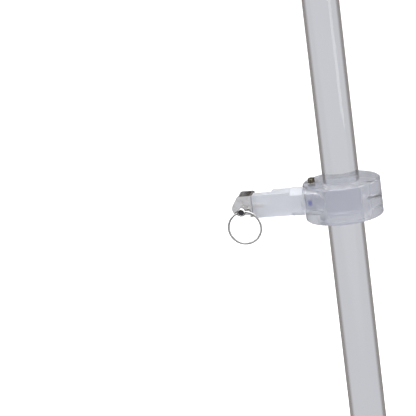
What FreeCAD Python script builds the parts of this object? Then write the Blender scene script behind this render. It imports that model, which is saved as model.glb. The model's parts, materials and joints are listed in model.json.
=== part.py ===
import FreeCAD, Part
import math
import os

# Display stand for an alto saxophone. A clear rod leans out of a frosted socket on a clear
# base. A translucent collar on the rod carries an arm with a steel clevis, whose pull pin goes
# through the instrument's strap ring, and a cradle on the base takes the instrument's bow.
#
# Frame: +Z up, origin on the floor under the middle of the base. The arm points to -X and the
# pull ring to -Y. Pieces on the rod are drawn upright about Z, with their height measured from
# the rod's foot, and leaned_on_rod() puts them in place.

Vector = FreeCAD.Vector
AXIS_X = Vector(1, 0, 0)
AXIS_Y = Vector(0, 1, 0)
AXIS_Z = Vector(0, 0, 1)

# ---- driving dimensions, mm ----

FIT = 0.05              # radial clearance of a running fit
SEAT = 0.02             # radial gap of a fixed screw in its hole
END_GAP = 0.1           # gap between end faces of pieces that move past each other

ROD_RADIUS = 12.5
ROD_LENGTH = 610.0
ROD_CHAMFER = 1.2
LEAN_DEG = 7.0

FOOT_RADIUS = 10.0
FOOT_TOP_RADIUS = 9.0
FOOT_HEIGHT = 6.0
FOOT_ROUNDING = 1.2
FOOT_RECESS_RADIUS = 4.6
FOOT_X = 136.0
FOOT_Y = 96.0

BASE_LENGTH = 320.0
BASE_WIDTH = 240.0
BASE_THICKNESS = 15.0
BASE_CORNER_RADIUS = 24.0
BASE_BEVEL = 1.5

ROD_FOOT_X = 100.0
SOCKET_RADIUS = 31.0
SOCKET_X = ROD_FOOT_X - 2.0
SOCKET_FLOOR = 8.0      # material under the rod's foot
SOCKET_DEPTH = 35.0     # length of rod that the socket holds
SOCKET_RIM_BEVEL = 1.2
SOCKET_SCREW_CIRCLE = 22.0
SOCKET_SET_SCREW_HEIGHT = 19.0

COLLAR_RADIUS = 26.5
COLLAR_HEIGHT = 25.0
COLLAR_MIDDLE = 375.0   # along the rod, from its foot
COLLAR_BEVEL = 0.7

SPIGOT_RADIUS = 9.0
SPIGOT_END = 13.0       # distance of the spigot's inner face from the rod's axis
ARM_BAR_RADIUS = 9.75
ARM_SHOULDER_END = 35.2
ARM_BLOCK_END = 49.5
ARM_END = 61.5
ARM_HEIGHT = 15.8
ARM_DEPTH = 15.5
TONGUE_THICKNESS = 8.5
TONGUE_CORNER = 3.0
ARM_SCREW_OFFSET = 20.5     # distance of the arm's set screw from the rod's axis
ARM_SCREW_PROUD = 3.0

PLATE = 2.0             # thickness of the clevis steel
CLEVIS_WIDTH = 15.5
CLEVIS_BEND = 2.6       # outer radius of its two bends
CLEVIS_TOP = 7.9
CLEVIS_BOTTOM = -7.2
CHEEK_BOTTOM = -5.5
WEB_FOOT = 0.5          # how far the web's lower end runs on past its own thickness
CHEEK_TOP_REACH = 71.8  # where the cheek's top edge ends, from the rod's axis
CHEEK_TOP_CORNER = 1.6
LOBE_X = -71.2          # centre of the cheek's round end
LOBE_Z = -0.6           # relative to the arm's middle

PIN_X = -68.8
PIN_Z = -1.9            # relative to the arm's middle
PIN_RADIUS = 2.0
PIN_REAR = 10.4
PIN_HEAD_RADIUS = 2.9
PIN_HEAD_LENGTH = 6.0
PIN_HEAD_BEVEL = 0.6
PIN_END_BEVEL = 0.5
RING_HOLE_RADIUS = 1.35
RING_HOLE_Y = -11.6
RING_MEAN_RADIUS = 11.25
RING_WIRE_RADIUS = 0.7
RING_HANG_DEG = 5.0     # how far the ring hangs from square under the pin, in its own plane

CRADLE_X = -90.0
REST_POST_RADIUS = 25.0
REST_POST_HEIGHT = 14.0
SADDLE_LENGTH = 60.0
SADDLE_WIDTH = 72.0
SADDLE_HEIGHT = 24.0
SADDLE_CORNER = 8.0
SADDLE_BEVEL = 1.0
TROUGH_RADIUS = 36.0
TROUGH_DEPTH = 12.0
PAD_THICKNESS = 3.0
PAD_GLUE_GAP = 0.05
PAD_END_MARGIN = 2.0    # how far the pad stops short of the saddle's ends
PAD_RIM_MARGIN = 1.5    # and of its rims, in height
REST_SCREW_SPREAD = 14.0

# ---- screws: shank radius, head radius, head height, hexagon key across flats, key depth ----

M3_BUTTON = (1.5, 2.85, 1.65, 2.0, 1.0)
M4_PAN = (2.0, 4.0, 2.4, 2.5, 1.4)
M5_CAP = (2.5, 4.25, 5.0, 4.0, 2.6)
M8_CAP = (4.0, 6.5, 5.0, 6.0, 3.0)

# ---- heights that follow ----

BASE_BOTTOM = FOOT_HEIGHT
BASE_TOP = BASE_BOTTOM + BASE_THICKNESS
ROD_FOOT_Z = BASE_TOP + SOCKET_FLOOR
COLLAR_BOTTOM = COLLAR_MIDDLE - COLLAR_HEIGHT / 2
COLLAR_TOP = COLLAR_MIDDLE + COLLAR_HEIGHT / 2
BORE_RADIUS = ROD_RADIUS + FIT
REST_POST_TOP = BASE_TOP + REST_POST_HEIGHT
SADDLE_TOP = REST_POST_TOP + SADDLE_HEIGHT
TROUGH_AXIS_Z = SADDLE_TOP - TROUGH_DEPTH + TROUGH_RADIUS
CAP_HEAD_DEPTH = 6.0        # how deep the heads under the base are let in
CAP_SEAT_Z = BASE_BOTTOM + CAP_HEAD_DEPTH
THROUGH = 1.0               # how far a cutter runs past the face that it leaves by


# ---- helpers ----

def leaned_on_rod(shape):
    """Tilt a piece that is drawn about Z and carry it to the rod's foot."""
    shape.rotate(Vector(0, 0, 0), AXIS_Y, -LEAN_DEG)
    shape.translate(Vector(ROD_FOOT_X, 0, ROD_FOOT_Z))
    return shape


def save(node, shape):
    shape.exportStep(f"parts/{node}.step")


def cylinder(radius, start, length, axis=AXIS_Z):
    return Part.makeCylinder(radius, length, start, axis)


def box(low, high):
    size = high - low
    return Part.makeBox(size.x, size.y, size.z, low)


def hexagon(across_flats, depth, start, axis):
    """A hexagonal prism for a key's recess, from start along axis."""
    corner = across_flats / math.sqrt(3)
    turns = [math.radians(60 * i) for i in range(7)]
    outline = Part.makePolygon([Vector(corner * math.cos(a), corner * math.sin(a), 0) for a in turns])
    prism = Part.Face(outline).extrude(AXIS_Z * depth)
    prism.Placement = FreeCAD.Placement(start, FreeCAD.Rotation(AXIS_Z, axis))
    return prism


def cap_screw(size, seat, axis, shank_length):
    """A screw whose head bears at seat, with its shank going along axis."""
    shank_radius, head_radius, head_height, key, key_depth = size
    shank = cylinder(shank_radius, seat, shank_length, axis)
    head = cylinder(head_radius, seat, head_height, axis * -1)
    recess = hexagon(key, key_depth, seat - axis * head_height, axis)
    return shank.fuse(head).cut(recess).removeSplitter()


def set_screw(radius, start, length, axis, key):
    """A headless screw from its tip at start, with a key recess in its far end."""
    body = cylinder(radius, start, length, axis)
    recess = hexagon(key, key, start + axis * length, axis * -1)
    return body.cut(recess)


def bevelled(shape, bevel, wanted):
    """Chamfer the edges for which wanted(edge) is true."""
    return shape.makeChamfer(bevel, [edge for edge in shape.Edges if wanted(edge)])


def level_edges(heights):
    """A test for edges that lie wholly at one of the given heights."""
    def at_height(edge):
        bounds = edge.BoundBox
        return any(abs(bounds.ZMin - z) < 1e-4 and abs(bounds.ZMax - z) < 1e-4 for z in heights)
    return at_height


def rounded_block(centre_x, length, width, bottom, height, corner, bevel):
    """A block centred on (centre_x, 0) with rounded upright edges and bevelled rims."""
    half = Vector(length / 2, width / 2, 0)
    middle = Vector(centre_x, 0, bottom)
    block = box(middle - half, middle + half + Vector(0, 0, height))
    upright = [edge for edge in block.Edges if edge.BoundBox.ZLength > height / 2]
    block = block.makeFillet(corner, upright)
    return bevelled(block, bevel, level_edges([bottom, bottom + height]))


def socket_screw_places():
    """The four screw centres around the socket, on the floor plane."""
    turns = [math.radians(45 + 90 * i) for i in range(4)]
    return [Vector(SOCKET_X + SOCKET_SCREW_CIRCLE * math.cos(a), SOCKET_SCREW_CIRCLE * math.sin(a), 0)
            for a in turns]


def rest_screw_places():
    return [Vector(CRADLE_X, side * REST_SCREW_SPREAD, 0) for side in (-1, 1)]


def foot_places():
    return [Vector(x, y, 0) for x in (-FOOT_X, FOOT_X) for y in (-FOOT_Y, FOOT_Y)]


# ---- the base and what stands on it ----

FOOT_SCREW_SEAT = 3.2
FOOT_SCREW_LENGTH = 12.0
SOCKET_SCREW_LENGTH = 23.0
REST_SCREW_LENGTH = 31.0
CAP_COUNTERBORE_RADIUS = 4.7
ROD_BOLT_SEAT = -14.0       # along the rod's axis, from its foot
ROD_BOLT_LENGTH = 29.0
ROD_BOLT_HOLE_RADIUS = 4.25
WASHER_RADIUS = 8.0
WASHER_THICKNESS = 1.6
WASHER_PLAY = 0.5           # radial room for the washer in its counterbore
WASHER_HOLE_PLAY = 0.2
BOLT_CUT_LENGTH = 12.0      # from the bolt's seat past either face of the base
INSERT_RADIUS = 5.5
INSERT_LENGTH = 18.0


def make_base_plate():
    plate = rounded_block(0, BASE_LENGTH, BASE_WIDTH, BASE_BOTTOM, BASE_THICKNESS,
                          BASE_CORNER_RADIUS, BASE_BEVEL)
    for place in socket_screw_places() + rest_screw_places():
        floor = place + AXIS_Z * BASE_BOTTOM
        plate = plate.cut(cylinder(CAP_COUNTERBORE_RADIUS, floor, CAP_SEAT_Z - BASE_BOTTOM))
        plate = plate.cut(cylinder(M5_CAP[0] + SEAT, floor, BASE_THICKNESS))
    for place in foot_places():
        depth = FOOT_SCREW_SEAT + FOOT_SCREW_LENGTH - BASE_BOTTOM
        plate = plate.cut(cylinder(M4_PAN[0] + SEAT, place + AXIS_Z * BASE_BOTTOM, depth))
    bolt_seat = Vector(0, 0, ROD_BOLT_SEAT)
    counterbore = cylinder(WASHER_RADIUS + WASHER_PLAY, bolt_seat, BOLT_CUT_LENGTH, AXIS_Z * -1)
    hole = cylinder(ROD_BOLT_HOLE_RADIUS, bolt_seat, BOLT_CUT_LENGTH)
    return plate.cut(leaned_on_rod(counterbore)).cut(leaned_on_rod(hole))


def make_rubber_feet():
    feet = []
    for place in foot_places():
        foot = Part.makeCone(FOOT_RADIUS, FOOT_TOP_RADIUS, FOOT_HEIGHT, place)
        sole = [edge for edge in foot.Edges if level_edges([0])(edge)]
        foot = foot.makeFillet(FOOT_ROUNDING, sole)
        foot = foot.cut(cylinder(FOOT_RECESS_RADIUS, place, FOOT_SCREW_SEAT))
        feet.append(foot.cut(cylinder(M4_PAN[0] + SEAT, place, FOOT_HEIGHT)))
    return Part.makeCompound(feet)


def make_foot_screws():
    seats = [place + AXIS_Z * FOOT_SCREW_SEAT for place in foot_places()]
    return Part.makeCompound([cap_screw(M4_PAN, seat, AXIS_Z, FOOT_SCREW_LENGTH) for seat in seats])


def make_base_socket():
    """A round boss, cut square to the rod on top, with the rod's leaning bore."""
    over = SOCKET_RADIUS
    wide = 2 * SOCKET_RADIUS
    boss = cylinder(SOCKET_RADIUS, Vector(SOCKET_X, 0, BASE_TOP), SOCKET_FLOOR + SOCKET_DEPTH + over)
    above = box(Vector(-wide, -wide, SOCKET_DEPTH), Vector(wide, wide, SOCKET_DEPTH + 2 * over))
    boss = boss.cut(leaned_on_rod(above))
    rim = max(boss.Edges, key=lambda edge: edge.CenterOfMass.z)
    boss = boss.makeChamfer(SOCKET_RIM_BEVEL, [rim])
    boss = boss.cut(leaned_on_rod(cylinder(BORE_RADIUS, Vector(0, 0, 0), SOCKET_DEPTH + over)))
    boss = boss.cut(leaned_on_rod(cylinder(ROD_BOLT_HOLE_RADIUS, Vector(0, 0, -over), over)))
    screw_top = CAP_SEAT_Z + SOCKET_SCREW_LENGTH
    for place in socket_screw_places():
        hole = cylinder(M5_CAP[0] + SEAT, place + AXIS_Z * BASE_TOP, screw_top - BASE_TOP)
        boss = boss.cut(hole)
    side_hole = cylinder(M5_CAP[0] + FIT, Vector(0, 0, SOCKET_SET_SCREW_HEIGHT), 2 * SOCKET_RADIUS, AXIS_X)
    return boss.cut(leaned_on_rod(side_hole))


def make_socket_screws():
    seats = [place + AXIS_Z * CAP_SEAT_Z for place in socket_screw_places()]
    return Part.makeCompound([cap_screw(M5_CAP, seat, AXIS_Z, SOCKET_SCREW_LENGTH) for seat in seats])


def make_rod_bolt():
    seat = Vector(0, 0, ROD_BOLT_SEAT - WASHER_THICKNESS)
    return leaned_on_rod(cap_screw(M8_CAP, seat, AXIS_Z, ROD_BOLT_LENGTH))


def make_rod_washer():
    bottom = Vector(0, 0, ROD_BOLT_SEAT - WASHER_THICKNESS)
    disc = cylinder(WASHER_RADIUS, bottom, WASHER_THICKNESS)
    return leaned_on_rod(disc.cut(cylinder(M8_CAP[0] + WASHER_HOLE_PLAY, bottom, WASHER_THICKNESS)))


def make_rest_post():
    middle = Vector(CRADLE_X, 0, BASE_TOP)
    post = cylinder(REST_POST_RADIUS, middle, REST_POST_HEIGHT)
    for place in rest_screw_places():
        post = post.cut(cylinder(M5_CAP[0] + SEAT, place + AXIS_Z * BASE_TOP, REST_POST_HEIGHT))
    return post


def trough(radius):
    """The round channel, along X, that the instrument's bow lies in."""
    start = Vector(CRADLE_X - SADDLE_LENGTH, 0, TROUGH_AXIS_Z)
    return cylinder(radius, start, 2 * SADDLE_LENGTH, AXIS_X)


def make_rest_saddle():
    saddle = rounded_block(CRADLE_X, SADDLE_LENGTH, SADDLE_WIDTH, REST_POST_TOP, SADDLE_HEIGHT,
                           SADDLE_CORNER, SADDLE_BEVEL)
    saddle = saddle.cut(trough(TROUGH_RADIUS))
    screw_top = CAP_SEAT_Z + REST_SCREW_LENGTH
    for place in rest_screw_places():
        hole = cylinder(M5_CAP[0] + SEAT, place + AXIS_Z * REST_POST_TOP, screw_top - REST_POST_TOP)
        saddle = saddle.cut(hole)
    return saddle


def make_rest_pad():
    """A strip of silicone that lines the trough, a little short of its ends and rims."""
    sheet = trough(TROUGH_RADIUS - PAD_GLUE_GAP).cut(trough(TROUGH_RADIUS - PAD_GLUE_GAP - PAD_THICKNESS))
    half = Vector(SADDLE_LENGTH / 2 - PAD_END_MARGIN, SADDLE_WIDTH / 2, 0)
    low = Vector(CRADLE_X, 0, REST_POST_TOP) - half
    high = Vector(CRADLE_X, 0, SADDLE_TOP - PAD_RIM_MARGIN) + half
    return sheet.common(box(low, high))


def make_rest_screws():
    seats = [place + AXIS_Z * CAP_SEAT_Z for place in rest_screw_places()]
    return Part.makeCompound([cap_screw(M5_CAP, seat, AXIS_Z, REST_SCREW_LENGTH) for seat in seats])


# ---- the rod ----

def make_upright_rod():
    length = ROD_LENGTH - END_GAP
    rod = cylinder(ROD_RADIUS, Vector(0, 0, END_GAP), length)
    rod = bevelled(rod, ROD_CHAMFER, level_edges([END_GAP, ROD_LENGTH]))
    hole = cylinder(INSERT_RADIUS + SEAT, Vector(0, 0, 0), INSERT_LENGTH + END_GAP)
    return leaned_on_rod(rod.cut(hole))


def make_rod_insert():
    start = Vector(0, 0, END_GAP)
    sleeve = cylinder(INSERT_RADIUS, start, INSERT_LENGTH)
    return leaned_on_rod(sleeve.cut(cylinder(M8_CAP[0] + FIT, start, INSERT_LENGTH)))


# ---- the set screws that lock the rod and the collar, each with a nylon tip ----

TIP_START = ROD_RADIUS + END_GAP
SOCKET_TIP_LENGTH = 2.5
SOCKET_SET_SCREW_LENGTH = 12.0
COLLAR_SET_SCREW_RADIUS = 1.5
COLLAR_TIP_LENGTH = 4.4
COLLAR_SET_SCREW_LENGTH = 7.0
M5_SET_KEY = 2.5
M3_SET_KEY = 1.5


def radial_place(height, distance):
    return Vector(distance, 0, height)


def make_socket_screw_tip():
    start = radial_place(SOCKET_SET_SCREW_HEIGHT, TIP_START)
    return leaned_on_rod(cylinder(M5_CAP[0] - SEAT, start, SOCKET_TIP_LENGTH, AXIS_X))


def make_socket_set_screw():
    start = radial_place(SOCKET_SET_SCREW_HEIGHT, TIP_START + SOCKET_TIP_LENGTH)
    return leaned_on_rod(set_screw(M5_CAP[0], start, SOCKET_SET_SCREW_LENGTH, AXIS_X, M5_SET_KEY))


def make_collar_screw_tip():
    start = radial_place(COLLAR_MIDDLE, TIP_START)
    radius = COLLAR_SET_SCREW_RADIUS - SEAT
    return leaned_on_rod(cylinder(radius, start, COLLAR_TIP_LENGTH, AXIS_X))


def make_collar_set_screw():
    start = radial_place(COLLAR_MIDDLE, TIP_START + COLLAR_TIP_LENGTH)
    screw = set_screw(COLLAR_SET_SCREW_RADIUS, start, COLLAR_SET_SCREW_LENGTH, AXIS_X, M3_SET_KEY)
    return leaned_on_rod(screw)


# ---- the collar and its arm ----

ARM_MIDDLE = Vector(0, 0, COLLAR_MIDDLE)
LOCKER_DEPTH = 1.5
BRACKET_INSERT_RADIUS = 2.2
BRACKET_INSERT_LENGTH = 6.5
BRACKET_HOLE_LENGTH = 8.5
BRACKET_HOLE_PLAY = 0.1
BRACKET_SCREW_LENGTH = 8.0
BRACKET_AXIS_Y = -2.75     # its head clears the front cheek


def arm_box(near, far, back, front, low=-ARM_HEIGHT / 2, high=ARM_HEIGHT / 2):
    """A box on the arm's line, between two distances from the rod's axis, rear and front in Y."""
    return box(ARM_MIDDLE + Vector(-far, front, low), ARM_MIDDLE + Vector(-near, back, high))


def make_collar():
    collar = cylinder(COLLAR_RADIUS, Vector(0, 0, COLLAR_BOTTOM), COLLAR_HEIGHT)
    collar = bevelled(collar, COLLAR_BEVEL, level_edges([COLLAR_BOTTOM, COLLAR_TOP]))
    collar = collar.cut(cylinder(BORE_RADIUS, Vector(0, 0, COLLAR_BOTTOM), COLLAR_HEIGHT))
    collar = collar.cut(cylinder(SPIGOT_RADIUS + SEAT, ARM_MIDDLE, COLLAR_RADIUS + THROUGH, AXIS_X * -1))
    screw_hole = cylinder(M5_CAP[0] + SEAT, ARM_MIDDLE - AXIS_X * ARM_SCREW_OFFSET, COLLAR_HEIGHT)
    lock_hole = cylinder(COLLAR_SET_SCREW_RADIUS + FIT, ARM_MIDDLE, COLLAR_RADIUS + THROUGH, AXIS_X)
    return leaned_on_rod(collar.cut(screw_hole).cut(lock_hole))


def make_arm():
    """Turned and milled from one round bar: spigot, shoulder, flat-sided block and tongue."""
    front = -ARM_DEPTH / 2
    start = ARM_MIDDLE - AXIS_X * SPIGOT_END
    spigot = cylinder(SPIGOT_RADIUS, start, COLLAR_RADIUS + SEAT - SPIGOT_END, AXIS_X * -1)
    shoulder_start = COLLAR_RADIUS + SEAT
    shoulder = cylinder(ARM_BAR_RADIUS, ARM_MIDDLE - AXIS_X * shoulder_start,
                        ARM_SHOULDER_END - shoulder_start, AXIS_X * -1)
    reach = ARM_BAR_RADIUS + THROUGH
    shoulder = shoulder.common(arm_box(shoulder_start, ARM_SHOULDER_END, reach, front, -reach, reach))
    block = arm_box(ARM_SHOULDER_END, ARM_BLOCK_END, ARM_DEPTH / 2, front)
    tongue = arm_box(ARM_BLOCK_END, ARM_END, front + TONGUE_THICKNESS, front)
    lower_corner = [edge for edge in tongue.Edges
                    if abs(edge.CenterOfMass.x + ARM_END) < 1e-4
                    and abs(edge.CenterOfMass.z - COLLAR_MIDDLE + ARM_HEIGHT / 2) < 1e-4]
    tongue = tongue.makeFillet(TONGUE_CORNER, lower_corner)
    arm = spigot.fuse([shoulder, block, tongue]).removeSplitter()
    screw_hole = cylinder(M5_CAP[0] + SEAT, ARM_MIDDLE - AXIS_X * ARM_SCREW_OFFSET, ARM_HEIGHT)
    insert_start = Vector(-ARM_END, BRACKET_AXIS_Y, COLLAR_MIDDLE)
    insert_hole = cylinder(BRACKET_INSERT_RADIUS + SEAT, insert_start, BRACKET_HOLE_LENGTH, AXIS_X)
    return leaned_on_rod(arm.cut(screw_hole).cut(insert_hole))


def make_thread_locker():
    place = ARM_MIDDLE - AXIS_X * ARM_SCREW_OFFSET
    return leaned_on_rod(cylinder(M5_CAP[0], place, LOCKER_DEPTH))


def make_arm_set_screw():
    start = ARM_MIDDLE - AXIS_X * ARM_SCREW_OFFSET + AXIS_Z * LOCKER_DEPTH
    length = COLLAR_TOP + ARM_SCREW_PROUD - start.z
    return leaned_on_rod(set_screw(M5_CAP[0], start, length, AXIS_Z, M5_SET_KEY))


# ---- the clevis that holds the strap ring ----

PIN_PLACE = Vector(PIN_X, 0, COLLAR_MIDDLE + PIN_Z)
STRIP_END = ARM_END + 20.0      # past the cheeks' round ends


def clevis_plan():
    """The bent strip seen from above, extruded over the full height."""
    half = CLEVIS_WIDTH / 2
    outer = arm_box(ARM_END, STRIP_END, half, -half, CLEVIS_BOTTOM, CLEVIS_TOP)
    bends = [edge for edge in outer.Edges
             if edge.BoundBox.ZLength > 1 and abs(edge.CenterOfMass.x + ARM_END) < 1e-4]
    outer = outer.makeFillet(CLEVIS_BEND, bends)
    half_gap = half - PLATE
    inner = arm_box(ARM_END + PLATE, STRIP_END + THROUGH, half_gap, -half_gap, CLEVIS_BOTTOM, CLEVIS_TOP)
    corners = [edge for edge in inner.Edges
               if edge.BoundBox.ZLength > 1 and abs(edge.CenterOfMass.x + ARM_END + PLATE) < 1e-4]
    return outer.cut(inner.makeFillet(CLEVIS_BEND - PLATE, corners))


def cheek_side():
    """The cheek's outline from the front, with its round end, extruded through."""
    lobe = LOBE_Z - CHEEK_BOTTOM
    web_inside = -ARM_END - PLATE - WEB_FOOT
    top_end = Vector(-CHEEK_TOP_REACH, 0, CLEVIS_TOP)
    to_lobe = Vector(LOBE_X, 0, LOBE_Z) - top_end
    tangent_turn = math.atan2(to_lobe.z, to_lobe.x) - math.asin(lobe / to_lobe.Length)
    reach = math.sqrt(to_lobe.Length ** 2 - lobe ** 2)
    tangent = top_end + Vector(math.cos(tangent_turn), 0, math.sin(tangent_turn)) * reach
    diagonal = lobe * math.sqrt(0.5)
    far = Vector(LOBE_X - diagonal, 0, LOBE_Z - diagonal)
    low = Vector(LOBE_X, 0, CHEEK_BOTTOM)
    points = [low, Vector(web_inside, 0, CHEEK_BOTTOM), Vector(web_inside, 0, CLEVIS_BOTTOM),
              Vector(-ARM_END, 0, CLEVIS_BOTTOM), Vector(-ARM_END, 0, CLEVIS_TOP), top_end, tangent]
    edges = [Part.LineSegment(a, b).toShape() for a, b in zip(points, points[1:])]
    edges.append(Part.Arc(tangent, far, low).toShape())
    side = Part.Face(Part.Wire(edges)).extrude(AXIS_Y * CLEVIS_WIDTH)
    side.translate(Vector(0, -CLEVIS_WIDTH / 2, COLLAR_MIDDLE))
    top_corner = [edge for edge in side.Edges
                  if edge.BoundBox.YLength > 1
                  and (edge.CenterOfMass - Vector(top_end.x, 0, top_end.z + COLLAR_MIDDLE)).Length < 0.01]
    return side.makeFillet(CHEEK_TOP_CORNER, top_corner)


def make_clevis_bracket():
    bracket = clevis_plan().common(cheek_side())
    pin_hole = cylinder(PIN_RADIUS + FIT, PIN_PLACE - AXIS_Y * CLEVIS_WIDTH, 2 * CLEVIS_WIDTH, AXIS_Y)
    screw_start = Vector(-ARM_END - PLATE - THROUGH, BRACKET_AXIS_Y, COLLAR_MIDDLE)
    screw_hole = cylinder(M3_BUTTON[0] + BRACKET_HOLE_PLAY, screw_start, PLATE + 2 * THROUGH, AXIS_X)
    return leaned_on_rod(bracket.cut(pin_hole).cut(screw_hole))


def make_bracket_screw():
    seat = Vector(-ARM_END - PLATE, BRACKET_AXIS_Y, COLLAR_MIDDLE)
    return leaned_on_rod(cap_screw(M3_BUTTON, seat, AXIS_X, BRACKET_SCREW_LENGTH))


def make_bracket_insert():
    start = Vector(-ARM_END, BRACKET_AXIS_Y, COLLAR_MIDDLE)
    sleeve = cylinder(BRACKET_INSERT_RADIUS, start, BRACKET_INSERT_LENGTH, AXIS_X)
    return leaned_on_rod(sleeve.cut(cylinder(M3_BUTTON[0] + SEAT, start, BRACKET_INSERT_LENGTH, AXIS_X)))


# ---- the release pin, its detent and its ring ----

BALL_RADIUS = 0.75
BALL_Y = 8.9
SPRING_LENGTH = 1.6
SPRING_RADIUS = 0.7
SPRING_INNER_RADIUS = 0.45
RING_CUT_REACH = 5.0        # half the length of the cutter for the ring's hole
RING_TANGENT = Vector(math.cos(math.radians(RING_HANG_DEG)), 0, math.sin(math.radians(RING_HANG_DEG)))
RING_DOWN = Vector(math.sin(math.radians(RING_HANG_DEG)), 0, -math.cos(math.radians(RING_HANG_DEG)))
RING_HOLE_PLACE = PIN_PLACE + AXIS_Y * RING_HOLE_Y
BALL_PLACE = PIN_PLACE + Vector(0, BALL_Y, PIN_RADIUS - BALL_RADIUS)


def make_release_pin():
    head_seat = -CLEVIS_WIDTH / 2 - FIT
    shank = cylinder(PIN_RADIUS, PIN_PLACE + AXIS_Y * head_seat, PIN_REAR - head_seat, AXIS_Y)
    shank = shank.makeChamfer(PIN_END_BEVEL, [max(shank.Edges, key=lambda edge: edge.CenterOfMass.y)])
    head = cylinder(PIN_HEAD_RADIUS, PIN_PLACE + AXIS_Y * head_seat, PIN_HEAD_LENGTH, AXIS_Y * -1)
    head = head.makeChamfer(PIN_HEAD_BEVEL, [min(head.Edges, key=lambda edge: edge.CenterOfMass.y)])
    pin = shank.fuse(head).removeSplitter()
    hole_start = RING_HOLE_PLACE - RING_TANGENT * RING_CUT_REACH
    pin = pin.cut(cylinder(RING_HOLE_RADIUS, hole_start, 2 * RING_CUT_REACH, RING_TANGENT))
    ball_seat = BALL_PLACE - AXIS_Z * (BALL_RADIUS + SPRING_LENGTH)
    pocket = cylinder(BALL_RADIUS + SEAT, ball_seat, PIN_RADIUS + SPRING_LENGTH, AXIS_Z)
    return leaned_on_rod(pin.cut(pocket))


def make_detent_ball():
    ball = Part.makeSphere(BALL_RADIUS, BALL_PLACE)
    return leaned_on_rod(ball)


def make_detent_spring():
    """The spring's outer envelope, a plain sleeve under the ball."""
    start = BALL_PLACE - AXIS_Z * (BALL_RADIUS + SPRING_LENGTH - SEAT)
    length = SPRING_LENGTH - 2 * SEAT
    sleeve = cylinder(SPRING_RADIUS, start, length)
    return leaned_on_rod(sleeve.cut(cylinder(SPRING_INNER_RADIUS, start, length)))


def make_pull_ring():
    middle = RING_HOLE_PLACE + RING_DOWN * RING_MEAN_RADIUS
    return leaned_on_rod(Part.makeTorus(RING_MEAN_RADIUS, RING_WIRE_RADIUS, middle, AXIS_Y))


NODES = {
    "base_plate": make_base_plate,
    "rubber_feet": make_rubber_feet,
    "foot_screws": make_foot_screws,
    "base_socket": make_base_socket,
    "socket_screws": make_socket_screws,
    "rod_bolt": make_rod_bolt,
    "rod_washer": make_rod_washer,
    "rest_post": make_rest_post,
    "rest_saddle": make_rest_saddle,
    "rest_pad": make_rest_pad,
    "rest_screws": make_rest_screws,
    "upright_rod": make_upright_rod,
    "rod_insert": make_rod_insert,
    "socket_set_screw": make_socket_set_screw,
    "socket_screw_tip": make_socket_screw_tip,
    "collar": make_collar,
    "collar_set_screw": make_collar_set_screw,
    "collar_screw_tip": make_collar_screw_tip,
    "arm": make_arm,
    "arm_set_screw": make_arm_set_screw,
    "thread_locker": make_thread_locker,
    "clevis_bracket": make_clevis_bracket,
    "bracket_screw": make_bracket_screw,
    "bracket_insert": make_bracket_insert,
    "release_pin": make_release_pin,
    "detent_ball": make_detent_ball,
    "detent_spring": make_detent_spring,
    "pull_ring": make_pull_ring,
}

os.makedirs("parts", exist_ok=True)
for node, make in NODES.items():
    solid = make()
    save(node, solid)
    bounds = solid.BoundBox
    print(f"{node:18s} solids {len(solid.Solids)} valid {solid.isValid()} volume {solid.Volume:9.1f}"
          f" x {bounds.XMin:7.1f} {bounds.XMax:7.1f} y {bounds.YMin:7.1f} {bounds.YMax:7.1f}"
          f" z {bounds.ZMin:6.1f} {bounds.ZMax:6.1f}")
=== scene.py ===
"""Looks and stage for a clear acrylic display stand for an alto saxophone.

A clear rod leans out of a frosted socket on a clear base. A translucent collar on it carries
an arm with a steel clevis and a pull pin, and a cradle on the base takes the bow.
"""

import json
import math

import bmesh
import bpy
from mathutils import Matrix, Vector


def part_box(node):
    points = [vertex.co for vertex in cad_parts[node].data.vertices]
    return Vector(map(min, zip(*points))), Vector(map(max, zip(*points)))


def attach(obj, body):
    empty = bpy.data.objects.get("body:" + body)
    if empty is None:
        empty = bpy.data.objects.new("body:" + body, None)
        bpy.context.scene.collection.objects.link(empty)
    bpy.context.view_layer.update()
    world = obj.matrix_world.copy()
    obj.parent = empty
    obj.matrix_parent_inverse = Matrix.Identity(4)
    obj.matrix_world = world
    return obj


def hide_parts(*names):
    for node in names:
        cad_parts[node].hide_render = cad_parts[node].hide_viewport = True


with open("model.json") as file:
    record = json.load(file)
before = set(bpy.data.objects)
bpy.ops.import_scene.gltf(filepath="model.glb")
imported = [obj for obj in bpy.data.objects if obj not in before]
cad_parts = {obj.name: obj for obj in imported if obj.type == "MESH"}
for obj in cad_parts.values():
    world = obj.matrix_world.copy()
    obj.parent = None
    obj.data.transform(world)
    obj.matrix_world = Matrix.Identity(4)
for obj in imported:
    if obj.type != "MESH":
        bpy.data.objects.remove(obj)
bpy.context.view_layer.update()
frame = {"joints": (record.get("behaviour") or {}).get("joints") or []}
scene = bpy.context.scene

# ======================================================================================
# Stage: a pale sweep, white to the eye, a soft overhead light with two side lights, and the
# camera. Clear pieces bend a dimmer grey room. Polished faces mirror a room that is dark low at
# its sides and bright in front, on its walls and its floor, so that their edges can be read.
# ======================================================================================


def add_node(tree, kind, inputs=None, **settings):
    """A node with its settings, whose inputs are set to values or linked from sockets."""
    made = tree.nodes.new(kind)
    for name, value in settings.items():
        setattr(made, name, value)
    for key, value in (inputs or {}).items():
        if isinstance(value, bpy.types.NodeSocket):
            tree.links.new(value, made.inputs[key])
        else:
            made.inputs[key].default_value = value
    return made


def link_object(name, data):
    made = bpy.data.objects.new(name, data)
    scene.collection.objects.link(made)
    return made


def aim(thing, place, target):
    """Stands a lamp or camera at place, looking at target."""
    back = Vector(place) - Vector(target)
    thing.matrix_world = Matrix.Translation(place) @ back.to_track_quat("Z", "Y").to_matrix().to_4x4()


scene.view_settings.view_transform = "Standard"
scene.view_settings.look = "None"

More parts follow.
